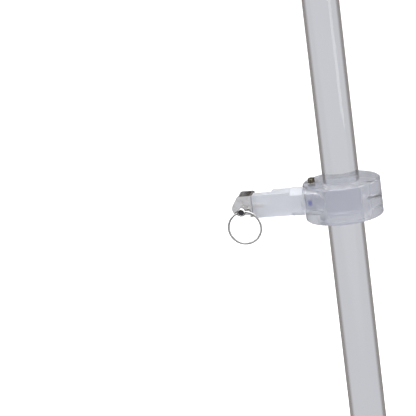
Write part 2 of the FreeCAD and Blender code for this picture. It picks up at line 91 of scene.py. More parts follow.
world = bpy.data.worlds.new("studio")
scene.world = world
world.use_nodes = True
sky = world.node_tree
sky.nodes.clear()
ray = add_node(sky, "ShaderNodeLightPath")
where = add_node(sky, "ShaderNodeTexCoord")
direction = add_node(sky, "ShaderNodeSeparateXYZ", {0: where.outputs["Generated"]})


def mirrored(tree, ray):
    """1 for a ray that comes off a polished face, 0 for one that went through or was scattered."""
    kept = add_node(tree, "ShaderNodeMath", {
        0: 1.0, 1: ray.outputs["Is Transmission Ray"]}, operation="SUBTRACT")
    return add_node(tree, "ShaderNodeMath", {
        0: ray.outputs["Is Glossy Ray"], 1: kept.outputs[0]}, operation="MULTIPLY").outputs[0]


def room_shade(stops):
    """A background whose grey follows the height of the ray's direction, from -1 to 1."""
    level = add_node(sky, "ShaderNodeMapRange", {
        "Value": direction.outputs["Z"], "From Min": -1.0, "From Max": 1.0}).outputs["Result"]
    shade = add_node(sky, "ShaderNodeValToRGB", {0: level})
    ramp = shade.color_ramp
    while len(ramp.elements) < len(stops):
        ramp.elements.new(0.5)
    for stop, (position, colour) in zip(ramp.elements, stops):
        stop.position = position
        stop.color = (*colour, 1)
    return add_node(sky, "ShaderNodeBackground", {"Color": shade.outputs["Color"], "Strength": 1.0})


soft_room = room_shade([(0.40, (0.30, 0.30, 0.31)), (0.80, (0.90, 0.90, 0.92))])
side_on_room = room_shade([
    (0.45, (0.09, 0.085, 0.08)), (0.60, (0.20, 0.19, 0.18)), (0.80, (0.75, 0.76, 0.78))])
seen_white = add_node(sky, "ShaderNodeBackground", {"Color": (1, 1, 1, 1), "Strength": 1.0})
facing_front = add_node(sky, "ShaderNodeMapRange", {
    "Value": direction.outputs["Y"], "From Min": -0.80, "From Max": -0.93}).outputs["Result"]
front_card = add_node(sky, "ShaderNodeBackground", {"Color": (0.80, 0.80, 0.82, 1), "Strength": 1.0})
mirrored_room = add_node(sky, "ShaderNodeMixShader", {
    0: facing_front, 1: side_on_room.outputs[0], 2: front_card.outputs[0]})
unseen = add_node(sky, "ShaderNodeMixShader", {
    0: mirrored(sky, ray), 1: soft_room.outputs[0], 2: mirrored_room.outputs[0]})
sky_mix = add_node(sky, "ShaderNodeMixShader", {
    0: ray.outputs["Is Camera Ray"], 1: unseen.outputs[0], 2: seen_white.outputs[0]})
add_node(sky, "ShaderNodeOutputWorld", {"Surface": sky_mix.outputs[0]})

floor_reach = 8.0
floor_mesh = bpy.data.meshes.new("floor")
floor_corners = [(x * floor_reach, y * floor_reach, 0) for x, y in ((-1, -1), (1, -1), (1, 1), (-1, 1))]
floor_mesh.from_pydata(floor_corners, [], [(0, 1, 2, 3)])
floor = link_object("floor", floor_mesh)
floor_paint = bpy.data.materials.new("floor_paint")
floor_paint.use_nodes = True
paint = floor_paint.node_tree
paint.nodes.clear()
ray = add_node(paint, "ShaderNodeLightPath")
paper = add_node(paint, "ShaderNodeBsdfDiffuse", {"Color": (0.96, 0.96, 0.96, 1)})
lift = add_node(paint, "ShaderNodeEmission", {"Color": (1, 1, 1, 1), "Strength": 0.25})
seen_paper = add_node(paint, "ShaderNodeAddShader", {0: paper.outputs[0], 1: lift.outputs[0]})
bent_grey = add_node(paint, "ShaderNodeEmission", {"Color": (0.575, 0.580, 0.610, 1), "Strength": 1.0})
spot = add_node(paint, "ShaderNodeTexCoord")
along = add_node(paint, "ShaderNodeSeparateXYZ", {0: spot.outputs["Object"]})
in_front = add_node(paint, "ShaderNodeMapRange", {
    "Value": along.outputs["Y"], "From Min": -0.9, "From Max": -1.3})
mirrored_colour = add_node(paint, "ShaderNodeMix", {
    0: in_front.outputs["Result"], 6: (0.17, 0.155, 0.14, 1), 7: (0.72, 0.73, 0.77, 1)}, data_type="RGBA")
mirrored_grey = add_node(paint, "ShaderNodeEmission", {
    "Color": mirrored_colour.outputs[2], "Strength": 1.0})
unseen_floor = add_node(paint, "ShaderNodeMixShader", {
    0: mirrored(paint, ray), 1: bent_grey.outputs[0], 2: mirrored_grey.outputs[0]})
paint_mix = add_node(paint, "ShaderNodeMixShader", {
    0: ray.outputs["Is Camera Ray"], 1: unseen_floor.outputs[0], 2: seen_paper.outputs[0]})
add_node(paint, "ShaderNodeOutputMaterial", {"Surface": paint_mix.outputs[0]})
floor_mesh.materials.append(floor_paint)


def softbox(name, place, size, power):
    lamp = bpy.data.lights.new(name, "AREA")
    lamp.shape = "RECTANGLE"
    lamp.size, lamp.size_y = size
    lamp.energy = power
    box = link_object(name, lamp)
    box.visible_transmission = False
    aim(box, place, (0.0, 0.0, 0.35))


softbox("overhead", (0.2, -0.3, 2.6), (2.6, 2.6), 62)
softbox("key_left", (-1.7, -1.1, 1.5), (0.9, 1.6), 16)
softbox("fill_right", (1.9, -0.9, 0.9), (0.7, 1.4), 7)

# the camera looks a little down on the collar, from the front and slightly to the right
camera_turn = math.radians(11.17)
camera_rise = math.radians(15.50)
camera_roll = math.radians(-0.35)
camera_reach = 1.599
look_at = Vector((-0.03935, 0.0, 0.38948))
towards_camera = Vector((math.sin(camera_turn) * math.cos(camera_rise),
                         -math.cos(camera_turn) * math.cos(camera_rise), math.sin(camera_rise)))
lens = bpy.data.cameras.new("camera")
lens.sensor_width = 36.0
lens.lens = 201.0
camera = link_object("camera", lens)
aim(camera, look_at + towards_camera * camera_reach, look_at)
camera.matrix_world = camera.matrix_world @ Matrix.Rotation(camera_roll, 4, "Z")
scene.camera = camera

# ======================================================================================
# Base plate: clear cast acrylic slab with polished faces. Its rounded, bevelled edges and
# its holes are left satin from the cutter. It is counterbored below for the screws.
# ======================================================================================


def new_finish(name):
    """A material with a plain Principled shader: the material, its tree and the shader."""
    finish = bpy.data.materials.new(name)
    finish.use_nodes = True
    tree = finish.node_tree
    return finish, tree, tree.nodes["Principled BSDF"]


def new_group(name, inputs, outputs):
    """A shader node group with float inputs and the given outputs, and its two end nodes."""
    group = bpy.data.node_groups.new(name, "ShaderNodeTree")
    for title, value in inputs.items():
        socket = group.interface.new_socket(title, in_out="INPUT", socket_type="NodeSocketFloat")
        socket.default_value = value
    for title in outputs:
        group.interface.new_socket(title, in_out="OUTPUT", socket_type="NodeSocketFloat")
    return group, add_node(group, "NodeGroupInput"), add_node(group, "NodeGroupOutput")


def place_group(tree, group, **values):
    made = add_node(tree, "ShaderNodeGroup", node_tree=group)
    for title, value in values.items():
        made.inputs[title.capitalize()].default_value = value
    return made


def reckon(tree, operation, *values):
    """One sum of numbers or sockets."""
    return add_node(tree, "ShaderNodeMath", dict(enumerate(values)), operation=operation).outputs[0]


def between(tree, mask, low, high, low_mask=0.0, high_mask=1.0):
    """A value that runs from low to high as the mask runs between its two ends."""
    return add_node(tree, "ShaderNodeMapRange", {
        "Value": mask, "From Min": low_mask, "From Max": high_mask, "To Min": low, "To Max": high,
    }).outputs["Result"]


def blend(tree, mask, low, high):
    """A colour that runs from low to high with the mask. Both are colours or sockets."""
    ends = [value if isinstance(value, bpy.types.NodeSocket) else (*value, 1) for value in (low, high)]
    return add_node(tree, "ShaderNodeMix", {0: mask, 6: ends[0], 7: ends[1]}, data_type="RGBA").outputs[2]


# hairlines: fine straight polishing marks, stretched along the local Z
hairlines, given, result = new_group("hairlines", {"Along": 8.0, "Across": 1500.0}, ["Mark"])
where = add_node(hairlines, "ShaderNodeTexCoord")
stretch = add_node(hairlines, "ShaderNodeCombineXYZ", {
    0: given.outputs["Across"], 1: given.outputs["Across"], 2: given.outputs["Along"]})
drawn = add_node(hairlines, "ShaderNodeVectorMath", {
    0: where.outputs["Object"], 1: stretch.outputs[0]}, operation="MULTIPLY")
lines = add_node(hairlines, "ShaderNodeTexNoise", {"Vector": drawn.outputs[0], "Scale": 1.0, "Detail": 2.0})
hairlines.links.new(between(hairlines, lines.outputs["Fac"], 0.0, 1.0, 0.62, 0.72), result.inputs["Mark"])

# smudges: soft blotches of handling and dust, 0 where clean
smudges, given, result = new_group("smudges", {"Scale": 40.0, "Clean": 0.5}, ["Mark"])
where = add_node(smudges, "ShaderNodeTexCoord")
blotch = add_node(smudges, "ShaderNodeTexNoise", {
    "Vector": where.outputs["Object"], "Scale": given.outputs["Scale"], "Detail": 4.0,
    "Roughness": 0.6, "Distortion": 0.4})
past_clean = reckon(smudges, "SUBTRACT", blotch.outputs["Fac"], given.outputs["Clean"])
smudges.links.new(between(smudges, past_clean, 0.0, 1.0, 0.0, 0.25), result.inputs["Mark"])


def let_lamps_through(tree, shader, tint, share):
    """Lets most of a lamp's light through, so that a clear piece throws a pale shadow."""
    ray = add_node(tree, "ShaderNodeLightPath")
    clear = add_node(tree, "ShaderNodeBsdfTransparent", {"Color": (*tint, 1)})
    how_much = reckon(tree, "MULTIPLY", ray.outputs["Is Shadow Ray"], share)
    both = add_node(tree, "ShaderNodeMixShader", {0: how_much, 1: shader.outputs[0], 2: clear.outputs[0]})
    tree.links.new(both.outputs[0], tree.nodes["Material Output"].inputs["Surface"])


def clear_acrylic(name, tint, marks_along, painted_edge_shade, edge_start):
    """Polished clear acrylic with hairlines and handling marks, with painted dark edges where the camera
    sees it edge on.
    """
    finish, tree, shader = new_finish(name)
    shader.inputs["IOR"].default_value = 1.49
    shader.inputs["Transmission Weight"].default_value = 1.0
    hair = place_group(tree, hairlines, along=marks_along, across=1400.0).outputs["Mark"]
    handled = place_group(tree, smudges, scale=24.0, clean=0.52).outputs["Mark"]
    worn = reckon(tree, "MAXIMUM", hair, handled)
    tree.links.new(between(tree, worn, 0.0, 0.03), shader.inputs["Roughness"])
    dull = tuple(level * 0.985 for level in tint)
    # painted shade: where the camera sees the piece edge on, its colour darkens towards the edge shade,
    # standing in for the dark room seen through the edge
    side_on = add_node(tree, "ShaderNodeLayerWeight", {"Blend": 0.5}).outputs["Facing"]
    seen = add_node(tree, "ShaderNodeLightPath").outputs["Is Camera Ray"]
    edge = reckon(tree, "MULTIPLY", between(tree, side_on, 0.0, 1.0, edge_start, edge_start + 0.15), seen)
    middle_tint = blend(tree, handled, tint, dull)
    tree.links.new(blend(tree, edge, middle_tint, painted_edge_shade), shader.inputs["Base Color"])
    bump = add_node(tree, "ShaderNodeBump", {"Strength": 0.04, "Distance": 0.00005, "Height": hair})
    tree.links.new(bump.outputs[0], shader.inputs["Normal"])
    let_lamps_through(tree, shader, (0.93, 0.94, 0.96), 0.75)
    return finish


def lathe(outline, steps=128, closed=False):
    """A bmesh turned about Z from (radius, height) points; closed joins the last to the first."""
    turned = bmesh.new()
    turns = [math.tau * i / steps for i in range(steps)]
    rings = []
    for radius, level in outline:
        if radius == 0:
            rings.append([turned.verts.new((0, 0, level))])
        else:
            circle = [(radius * math.cos(a), radius * math.sin(a), level) for a in turns]
            rings.append([turned.verts.new(point) for point in circle])
    pairs = list(zip(rings, rings[1:]))
    if closed:
        pairs.append((rings[-1], rings[0]))
    for low, high in pairs:
        for i in range(steps):
            j = (i + 1) % steps
            around = [low[i % len(low)], low[j % len(low)], high[j % len(high)], high[i % len(high)]]
            turned.faces.new(list(dict.fromkeys(around)))
    bmesh.ops.recalc_face_normals(turned, faces=turned.faces)
    return turned


def mesh_object(name, shape):
    """Turns a bmesh into an object."""
    data = bpy.data.meshes.new(name)
    shape.to_mesh(data)
    shape.free()
    return link_object(name, data)


def round_cutter(radius, start, axis, length, steps=64):
    """A cylinder to cut with, from start along axis."""
    blank = lathe([(0, 0), (radius, 0), (radius, length), (0, length)], steps)
    turn = Vector(axis).to_track_quat("Z", "Y").to_matrix().to_4x4()
    blank.transform(Matrix.Translation(start) @ turn)
    return mesh_object("cutter", blank)


def hole_up(radius, x, y, bottom, top):
    """A cylinder to cut a hole upwards at (x, y), started a little below the face at bottom."""
    return round_cutter(radius, (x, y, bottom - past), (0, 0, 1), top - bottom + past)


def combine(body, *others, operation="DIFFERENCE"):
    """Cuts body with each of the others, or joins or intersects it with them. They are used up."""
    for other in others:
        step = body.modifiers.new("combine", "BOOLEAN")
        step.operation = operation
        step.solver = "EXACT"
        step.object = other
    depsgraph = bpy.context.evaluated_depsgraph_get()
    data = bpy.data.meshes.new_from_object(body.evaluated_get(depsgraph))
    body.modifiers.clear()
    body.data = data
    for other in others:
        bpy.data.objects.remove(other)
    return body


def soften(body, width, segments=2, angle=40):
    """Gives the sharp edges a small round."""
    bevel = body.modifiers.new("soften", "BEVEL")
    bevel.limit_method = "ANGLE"
    bevel.angle_limit = math.radians(angle)
    bevel.width = width
    bevel.segments = segments
    return body


def settle(worker, finishes=(), place=Matrix.Identity(4), choose=None, crease=35):
    """Applies a worker's modifiers, gives each face its finish and puts the mesh in place.

    Large faces keep their own normals and small rounds take up the turn, so flat faces look flat.
    """
    name = worker.name
    depsgraph = bpy.context.evaluated_depsgraph_get()
    data = bpy.data.meshes.new_from_object(worker.evaluated_get(depsgraph))
    bpy.data.objects.remove(worker)
    if finishes:
        data.materials.clear()
    for finish in finishes:
        data.materials.append(finish)
    if choose:
        for face in data.polygons:
            face.material_index = choose(face)
    data.transform(place)
    data.shade_smooth()
    data.set_sharp_from_angle(angle=math.radians(crease))
    settled = link_object(name, data)
    flatten = settled.modifiers.new("flatten", "WEIGHTED_NORMAL")
    flatten.keep_sharp = True
    flatten.weight = 80
    depsgraph = bpy.context.evaluated_depsgraph_get()
    settled.data = bpy.data.meshes.new_from_object(settled.evaluated_get(depsgraph))
    settled.modifiers.clear()
    return settled


def rounded_slab(low, high, corner, steps=12):
    """An upright slab between two corners, with rounded upright edges."""
    slab = bmesh.new()
    centres = [(high.x - corner, high.y - corner), (low.x + corner, high.y - corner),
               (low.x + corner, low.y + corner), (high.x - corner, low.y + corner)]
    outline = []
    for quarter, (x, y) in enumerate(centres):
        for i in range(steps + 1):
            a = math.pi / 2 * (quarter + i / steps)
            outline.append(slab.verts.new((x + corner * math.cos(a), y + corner * math.sin(a), low.z)))
    floor_face = slab.faces.new(outline)
    lifted = bmesh.ops.extrude_face_region(slab, geom=[floor_face])["geom"]
    top = [part for part in lifted if isinstance(part, bmesh.types.BMVert)]
    bmesh.ops.translate(slab, vec=(0, 0, high.z - low.z), verts=top)
    bmesh.ops.recalc_face_normals(slab, faces=slab.faces)
    return slab


def milled_side(face):
    """Which finish a face of a clear piece takes: 0 on its level faces, 1 on its milled sides."""
    return int(abs(face.normal.z) < 0.99)


# the rod's own frame: Z up the rod from its foot, X away from the instrument
upright_turn = next(joint for joint in frame["joints"] if joint["name"] == "upright_turn")
rod_axis = Vector(upright_turn["axis"])
rod_side = Vector((0, 1, 0)).cross(rod_axis)
rod_foot = Vector(upright_turn["pos_m"])
on_rod = Matrix((
    (rod_side.x, 0, rod_axis.x, rod_foot.x),
    (rod_side.y, 1, rod_axis.y, rod_foot.y),
    (rod_side.z, 0, rod_axis.z, rod_foot.z),
    (0, 0, 0, 1)))

# turning marks: fine rings left by a tool along the rod's axis
turning_rings, given, result = new_group("turning_rings", {"Pitch": 0.0004}, ["Mark"])
where = add_node(turning_rings, "ShaderNodeTexCoord").outputs["Object"]
up_rod = add_node(turning_rings, "ShaderNodeVectorMath", {
    0: where, 1: tuple(rod_axis)}, operation="DOT_PRODUCT")
wander = add_node(turning_rings, "ShaderNodeTexNoise", {
    "Vector": where, "Scale": 60.0, "Detail": 2.0}).outputs["Fac"]
phase = reckon(turning_rings, "DIVIDE", up_rod.outputs["Value"], given.outputs["Pitch"])
loose = reckon(turning_rings, "ADD", phase, reckon(turning_rings, "MULTIPLY", wander, 3.0))
wave = reckon(turning_rings, "SINE", reckon(turning_rings, "MULTIPLY", loose, math.tau))
turning_rings.links.new(wave, result.inputs["Mark"])


def satin_acrylic(name, tint, clear_share, rough, worn_rough):
    """Translucent acrylic with a machined satin face. The rest of its light scatters, milky."""
    finish, tree, shader = new_finish(name)
    shader.inputs["IOR"].default_value = 1.49
    shader.inputs["Transmission Weight"].default_value = clear_share
    handled = place_group(tree, smudges, scale=55.0, clean=0.42).outputs["Mark"]
    rings = place_group(tree, turning_rings, pitch=0.0005).outputs["Mark"]
    tree.links.new(between(tree, handled, rough, worn_rough), shader.inputs["Roughness"])
    pale = tuple(min(1.0, level * 1.02) for level in tint)
    tree.links.new(blend(tree, handled, tint, pale), shader.inputs["Base Color"])
    bump = add_node(tree, "ShaderNodeBump", {"Strength": 0.05, "Distance": 0.00003, "Height": rings})
    tree.links.new(bump.outputs[0], shader.inputs["Normal"])
    let_lamps_through(tree, shader, (0.80, 0.82, 0.88), 0.6)
    return finish


# the plate's grey edges, where the camera sees it edge on, are painted shade
plate_finish = clear_acrylic("base_acrylic", (0.975, 0.982, 0.992), 1400.0, (0.60, 0.63, 0.66), 0.80)
milled_finish = satin_acrylic("milled_edge", (0.86, 0.88, 0.91), 0.50, 0.30, 0.38)

seat_gap = 0.00002              # between a fixed screw and its hole
past = 0.001                    # how far a cutter reaches outside the face that it cuts
plate_low, plate_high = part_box("base_plate")
plate_corner = 0.024
plate_bevel = 0.0015
cap_counterbore = 0.0047
cap_seat = plate_low.z + 0.006
foot_radius = 0.010
foot_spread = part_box("rubber_feet")[1] - Vector((foot_radius, foot_radius, 0))
foot_places = [(x * foot_spread.x, y * foot_spread.y) for x in (-1, 1) for y in (-1, 1)]
socket_low, socket_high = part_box("base_socket")
socket_radius = (socket_high.y - socket_low.y) / 2
socket_x = socket_low.x + socket_radius
socket_screw_circle = 0.022
socket_screw_places = [(socket_x + socket_screw_circle * math.cos(a), socket_screw_circle * math.sin(a))
                       for a in (math.radians(45 + 90 * i) for i in range(4))]
post_low, post_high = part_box("rest_post")
cradle_x = (post_low.x + post_high.x) / 2
rest_screw_spacing = 0.028
rest_screw_places = [(cradle_x, side * rest_screw_spacing / 2) for side in (-1, 1)]
cap_shank = 0.0025
shank_hole = cap_shank + seat_gap
socket_screw_length = 0.023
rest_screw_length = 0.031
foot_shank = 0.002
foot_screw_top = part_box("foot_screws")[1].z
rod_bolt_seat = -0.014
rod_bolt_counterbore = 0.0085
rod_bolt_hole = 0.00425

slab = mesh_object("base_plate_piece", rounded_slab(plate_low, plate_high, plate_corner))
plate = soften(slab, plate_bevel, 3)
cutters = []
for x, y in socket_screw_places + rest_screw_places:
    cutters.append(hole_up(cap_counterbore, x, y, plate_low.z, cap_seat))
    cutters.append(hole_up(shank_hole, x, y, cap_seat, plate_high.z + past))
for x, y in foot_places:
    cutters.append(hole_up(foot_shank + seat_gap, x, y, plate_low.z, foot_screw_top))
bolt_start = on_rod @ Vector((0, 0, rod_bolt_seat))
cutters.append(round_cutter(rod_bolt_counterbore, bolt_start, -rod_axis, 0.012))
cutters.append(round_cutter(rod_bolt_hole, bolt_start - rod_axis * past, rod_axis, 0.013))
plate = settle(combine(plate, *cutters), [plate_finish, milled_finish], choose=milled_side)
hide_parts("base_plate")
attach(plate, "base")

# ======================================================================================
# Rubber feet: four moulded translucent grey feet, slightly tapered, with a rounded sole and
# a recess for the head of the screw that holds each one to the base.
# ======================================================================================


def rounded_outline(points, rounding, steps=4):
    """Rounds an outline's corners off its axis. A point's third number is its own rounding."""
    outline = []
    for before, corner, after in zip([points[-1]] + points, points, points[1:] + [points[0]]):
        own = corner[2] if len(corner) == 3 else rounding
        if corner[0] == 0 or own == 0:
            outline.append(tuple(corner[:2]))
            continue
        middle = Vector(corner[:2])
        start = middle + (Vector(before[:2]) - middle).normalized() * own
        end = middle + (Vector(after[:2]) - middle).normalized() * own
        for i in range(steps + 1):
            t = i / steps
            outline.append(tuple(start * (1 - t) ** 2 + middle * 2 * t * (1 - t) + end * t ** 2))
    return outline


def copies(shape, places):
    """One bmesh with a copy of shape at each (x, y)."""
    one = bpy.data.meshes.new("one")
    shape.to_mesh(one)
    shape.free()
    many = bmesh.new()
    for x, y in places:
        before = len(many.verts)
        many.from_mesh(one)
        many.verts.ensure_lookup_table()
        bmesh.ops.translate(many, vec=(x, y, 0), verts=many.verts[before:])
    bpy.data.meshes.remove(one)
    return many


def soft_grip(name, colour, dull, rough, see_through):
    """Rubber or silicone: a fine pitted skin, with duller patches where it is handled."""
    finish, tree, shader = new_finish(name)
    shader.inputs["IOR"].default_value = 1.43
    shader.inputs["Transmission Weight"].default_value = see_through
    handled = place_group(tree, smudges, scale=90.0, clean=0.42).outputs["Mark"]
    tree.links.new(blend(tree, handled, colour, dull), shader.inputs["Base Color"])
    tree.links.new(between(tree, handled, rough, rough + 0.15), shader.inputs["Roughness"])
    where = add_node(tree, "ShaderNodeTexCoord").outputs["Object"]
    pits = add_node(tree, "ShaderNodeTexNoise", {"Vector": where, "Scale": 2600.0, "Detail": 3.0})
    bump = add_node(tree, "ShaderNodeBump", {
        "Strength": 0.25, "Distance": 0.00006, "Height": pits.outputs["Fac"]})
    tree.links.new(bump.outputs[0], shader.inputs["Normal"])
    return finish


rubber_finish = soft_grip("foot_rubber", (0.52, 0.53, 0.54), (0.42, 0.43, 0.44), 0.45, 0.25)

foot_height = plate_low.z
foot_screw_seat = 0.0032
foot_hole = foot_shank + seat_gap
foot_recess = 0.0046
foot_top_radius = 0.009
foot_section = rounded_outline([
    (foot_hole, foot_screw_seat), (foot_recess, foot_screw_seat), (foot_recess, 0), (foot_radius, 0, 0.0012),
    (foot_top_radius, foot_height), (foot_hole, foot_height)], 0.0002)
feet = mesh_object("rubber_feet_piece", copies(lathe(foot_section, 64, closed=True), foot_places))
feet = settle(feet, [rubber_finish])
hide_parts("rubber_feet")
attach(feet, "base")

# ======================================================================================
# Screws of the base: stainless cap and pan screws with rolled threads, done up from below
# with a hexagon key. Four hold the feet, four the socket, two the cradle, and a larger one
# with a washer pulls the rod down into its socket.
# ======================================================================================


def steel(name, colour, dull, rough, worn_rough, across=2600.0):
    """Steel with fine scratches, and faint cloudy patches that are duller."""
    finish, tree, shader = new_finish(name)
    shader.inputs["Metallic"].default_value = 1.0
    hair = place_group(tree, hairlines, along=700.0, across=across).outputs["Mark"]
    clouded = place_group(tree, smudges, scale=150.0, clean=0.42).outputs["Mark"]
    tree.links.new(blend(tree, clouded, colour, dull), shader.inputs["Base Color"])
    worn = reckon(tree, "MAXIMUM", hair, clouded)
    tree.links.new(between(tree, worn, rough, worn_rough), shader.inputs["Roughness"])
    bump = add_node(tree, "ShaderNodeBump", {"Strength": 0.15, "Distance": 0.00002, "Height": hair})
    tree.links.new(bump.outputs[0], shader.inputs["Normal"])
    return finish


def new_tree(name, inputs):
    """A geometry tree with the given inputs as name: (kind, value), and its two end nodes."""
    tree = bpy.data.node_groups.new(name, "GeometryNodeTree")
    tree.interface.new_socket("Geometry", in_out="INPUT", socket_type="NodeSocketGeometry")
    tree.interface.new_socket("Geometry", in_out="OUTPUT", socket_type="NodeSocketGeometry")
    for title, (kind, value) in inputs.items():
        socket = tree.interface.new_socket(title, in_out="INPUT", socket_type="NodeSocket" + kind)
        if value is not None:
            socket.default_value = value
    return tree, add_node(tree, "NodeGroupInput"), add_node(tree, "NodeGroupOutput")


def grow(name, tree, places, **values):
    """An object with a point at each place and the geometry tree on it, with its inputs set."""
    data = bpy.data.meshes.new(name)
    data.from_pydata(places, [], [])
    worker = link_object(name, data)
    step = worker.modifiers.new("grow", "NODES")
    step.node_group = tree
    sockets = {item.name: item.identifier for item in tree.interface.items_tree if item.in_out == "INPUT"}
    for title, value in values.items():
        step[sockets[title.replace("_", " ").capitalize()]] = value
    return worker


# the screw: a shank with a rolled thread and a pointed-off tip, joined to a turned head and
# cut by a hexagon, once at every point
screw_tree, given, result = new_tree("screw", {
    "Radius": ("Float", 0.0025), "Length": ("Float", 0.02), "Pitch": ("Float", 0.0008),
    "Depth": ("Float", 0.0004), "Plain length": ("Float", 0.0), "Head": ("Object", None),
    "Key": ("Float", 0.004), "Key start": ("Float", 0.0), "Key depth": ("Float", 0.0026),
    "Finish": ("Material", None)})


def screw_sum(operation, *values):
    """One sum of numbers or sockets in the screw's tree."""
    return reckon(screw_tree, operation, *values)


rows_per_turn = 7.0
flank_slope = 2.4               # of the thread's depth, over a turn
tip_turns = 0.8                 # how far the pointed-off tip reaches, in turns of the thread
whole_length, pitch, depth, shank_size = (
    given.outputs[title] for title in ("Length", "Pitch", "Depth", "Radius"))
rows = screw_sum("MULTIPLY", screw_sum("DIVIDE", whole_length, pitch), rows_per_turn)
shank = add_node(screw_tree, "GeometryNodeMeshCylinder", {
    "Vertices": 36, "Side Segments": rows, "Radius": shank_size, "Depth": whole_length})
position = add_node(screw_tree, "GeometryNodeInputPosition").outputs[0]
spot = add_node(screw_tree, "ShaderNodeSeparateXYZ", {0: position})
from_start = screw_sum("ADD", spot.outputs["Z"], screw_sum("MULTIPLY", whole_length, 0.5))
turned = screw_sum("DIVIDE", screw_sum("ARCTAN2", spot.outputs["Y"], spot.outputs["X"]), math.tau)
climbed = screw_sum("DIVIDE", from_start, pitch)
groove = screw_sum("PINGPONG", screw_sum("FRACT", screw_sum("SUBTRACT", climbed, turned)), 0.5)
flank = screw_sum("MINIMUM", screw_sum("MULTIPLY", groove, flank_slope), 1.0)
deep = screw_sum("MULTIPLY", flank, depth)
to_tip = screw_sum("DIVIDE", screw_sum("SUBTRACT", whole_length, from_start), pitch)
tip = screw_sum("MULTIPLY", between(screw_tree, to_tip, 1.0, 0.0, 0.0, tip_turns), depth)
threaded = screw_sum("GREATER_THAN", from_start, given.outputs["Plain length"])
taken = screw_sum("MULTIPLY", screw_sum("MAXIMUM", deep, tip), threaded)
keep = screw_sum("SUBTRACT", 1.0, screw_sum("DIVIDE", taken, shank_size))
cut = add_node(screw_tree, "ShaderNodeCombineXYZ", {
    0: screw_sum("MULTIPLY", spot.outputs["X"], keep),
    1: screw_sum("MULTIPLY", spot.outputs["Y"], keep), 2: from_start})
shank_cut = add_node(screw_tree, "GeometryNodeSetPosition", {
    "Geometry": shank.outputs["Mesh"], "Position": cut.outputs[0]})
head = add_node(screw_tree, "GeometryNodeObjectInfo", {"Object": given.outputs["Head"]})
whole = add_node(screw_tree, "GeometryNodeMeshBoolean", operation="UNION", solver="EXACT")
screw_tree.links.new(shank_cut.outputs["Geometry"], whole.inputs["Mesh 2"])
screw_tree.links.new(head.outputs["Geometry"], whole.inputs["Mesh 2"])
corner = screw_sum("DIVIDE", given.outputs["Key"], math.sqrt(3))
recess = given.outputs["Key depth"]
key = add_node(screw_tree, "GeometryNodeMeshCylinder", {"Vertices": 6, "Radius": corner, "Depth": recess})
key_middle = screw_sum("ADD", given.outputs["Key start"], screw_sum("MULTIPLY", recess, 0.5))
key_place = add_node(screw_tree, "ShaderNodeCombineXYZ", {2: key_middle})
key_moved = add_node(screw_tree, "GeometryNodeTransform", {
    "Geometry": key.outputs["Mesh"], "Translation": key_place.outputs[0]})
keyed = add_node(screw_tree, "GeometryNodeMeshBoolean", {
    "Mesh 1": whole.outputs["Mesh"]}, operation="DIFFERENCE", solver="EXACT")
screw_tree.links.new(key_moved.outputs["Geometry"], keyed.inputs["Mesh 2"])
placed = add_node(screw_tree, "GeometryNodeInstanceOnPoints", {
    "Points": given.outputs["Geometry"], "Instance": keyed.outputs["Mesh"]})
real = add_node(screw_tree, "GeometryNodeRealizeInstances", {"Geometry": placed.outputs["Instances"]})
coated = add_node(screw_tree, "GeometryNodeSetMaterial", {
    "Geometry": real.outputs["Geometry"], "Material": given.outputs["Finish"]})
screw_tree.links.new(coated.outputs["Geometry"], result.inputs["Geometry"])

thread_depth = 0.6              # of a thread, as a share of its pitch


def cap_screws(name, places, shank_radius, length, pitch, head_radius, head_height, key, key_depth,
               finish, rounding=0.0003, plain=0.0, place=Matrix.Identity(4)):
    """Screws with their heads bearing at the places and their shanks going up from there."""
    root = shank_radius * 0.5
    head = mesh_object("head", lathe(rounded_outline([
        (0, -head_height), (head_radius, -head_height, rounding), (head_radius, 0, 0.00015),
        (root, 0, 0.00001), (root, pitch, 0.00001), (0, pitch)], rounding), 64))
    worker = grow(
        name, screw_tree, places, radius=shank_radius, length=length, pitch=pitch,
        depth=pitch * thread_depth, plain_length=plain, head=head, key=key,
        key_start=-head_height - key_depth, key_depth=2 * key_depth, finish=finish)
    made = settle(worker, place=place)
    bpy.data.objects.remove(head)
    return made


plain_steel = steel("stainless", (0.60, 0.60, 0.60), (0.50, 0.49, 0.48), 0.20, 0.34)

# the sizes of the screws: shank, thread, head and key
m4_pan = {"shank_radius": foot_shank, "pitch": 0.0007, "head_radius": 0.004, "head_height": 0.0024,
          "key": 0.0025, "key_depth": 0.0014, "rounding": 0.0009, "finish": plain_steel}
m5_cap = {"shank_radius": cap_shank, "pitch": 0.0008, "head_radius": 0.00425, "head_height": 0.005,
          "key": 0.004, "key_depth": 0.0026, "finish": plain_steel}
m8_cap = {"shank_radius": 0.004, "pitch": 0.00125, "head_radius": 0.0065, "head_height": 0.005,
          "key": 0.006, "key_depth": 0.003, "rounding": 0.0004, "finish": plain_steel}
m3_button = {"shank_radius": 0.0015, "pitch": 0.0005, "head_radius": 0.00285, "head_height": 0.00165,
             "key": 0.002, "key_depth": 0.001, "rounding": 0.0011, "finish": plain_steel}

foot_screws = cap_screws("foot_screws_piece", [(x, y, foot_screw_seat) for x, y in foot_places],
                         length=foot_screw_top - foot_screw_seat, **m4_pan)
socket_screws = cap_screws("socket_screws_piece", [(x, y, cap_seat) for x, y in socket_screw_places],
                           length=socket_screw_length, **m5_cap)
rest_screws = cap_screws("rest_screws_piece", [(x, y, cap_seat) for x, y in rest_screw_places],
                         length=rest_screw_length, plain=0.006, **m5_cap)
for made, node in (
        (foot_screws, "foot_screws"), (socket_screws, "socket_screws"), (rest_screws, "rest_screws")):
    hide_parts(node)
    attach(made, "base")

washer_thickness = 0.0016
washer_inner = 0.0042
washer_outer = 0.008
washer_bottom = rod_bolt_seat - washer_thickness
rod_bolt_length = 0.029
rod_bolt = cap_screws("rod_bolt_piece", [(0, 0, washer_bottom)], length=rod_bolt_length, plain=0.008,
                      place=on_rod, **m8_cap)
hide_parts("rod_bolt")
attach(rod_bolt, "base")

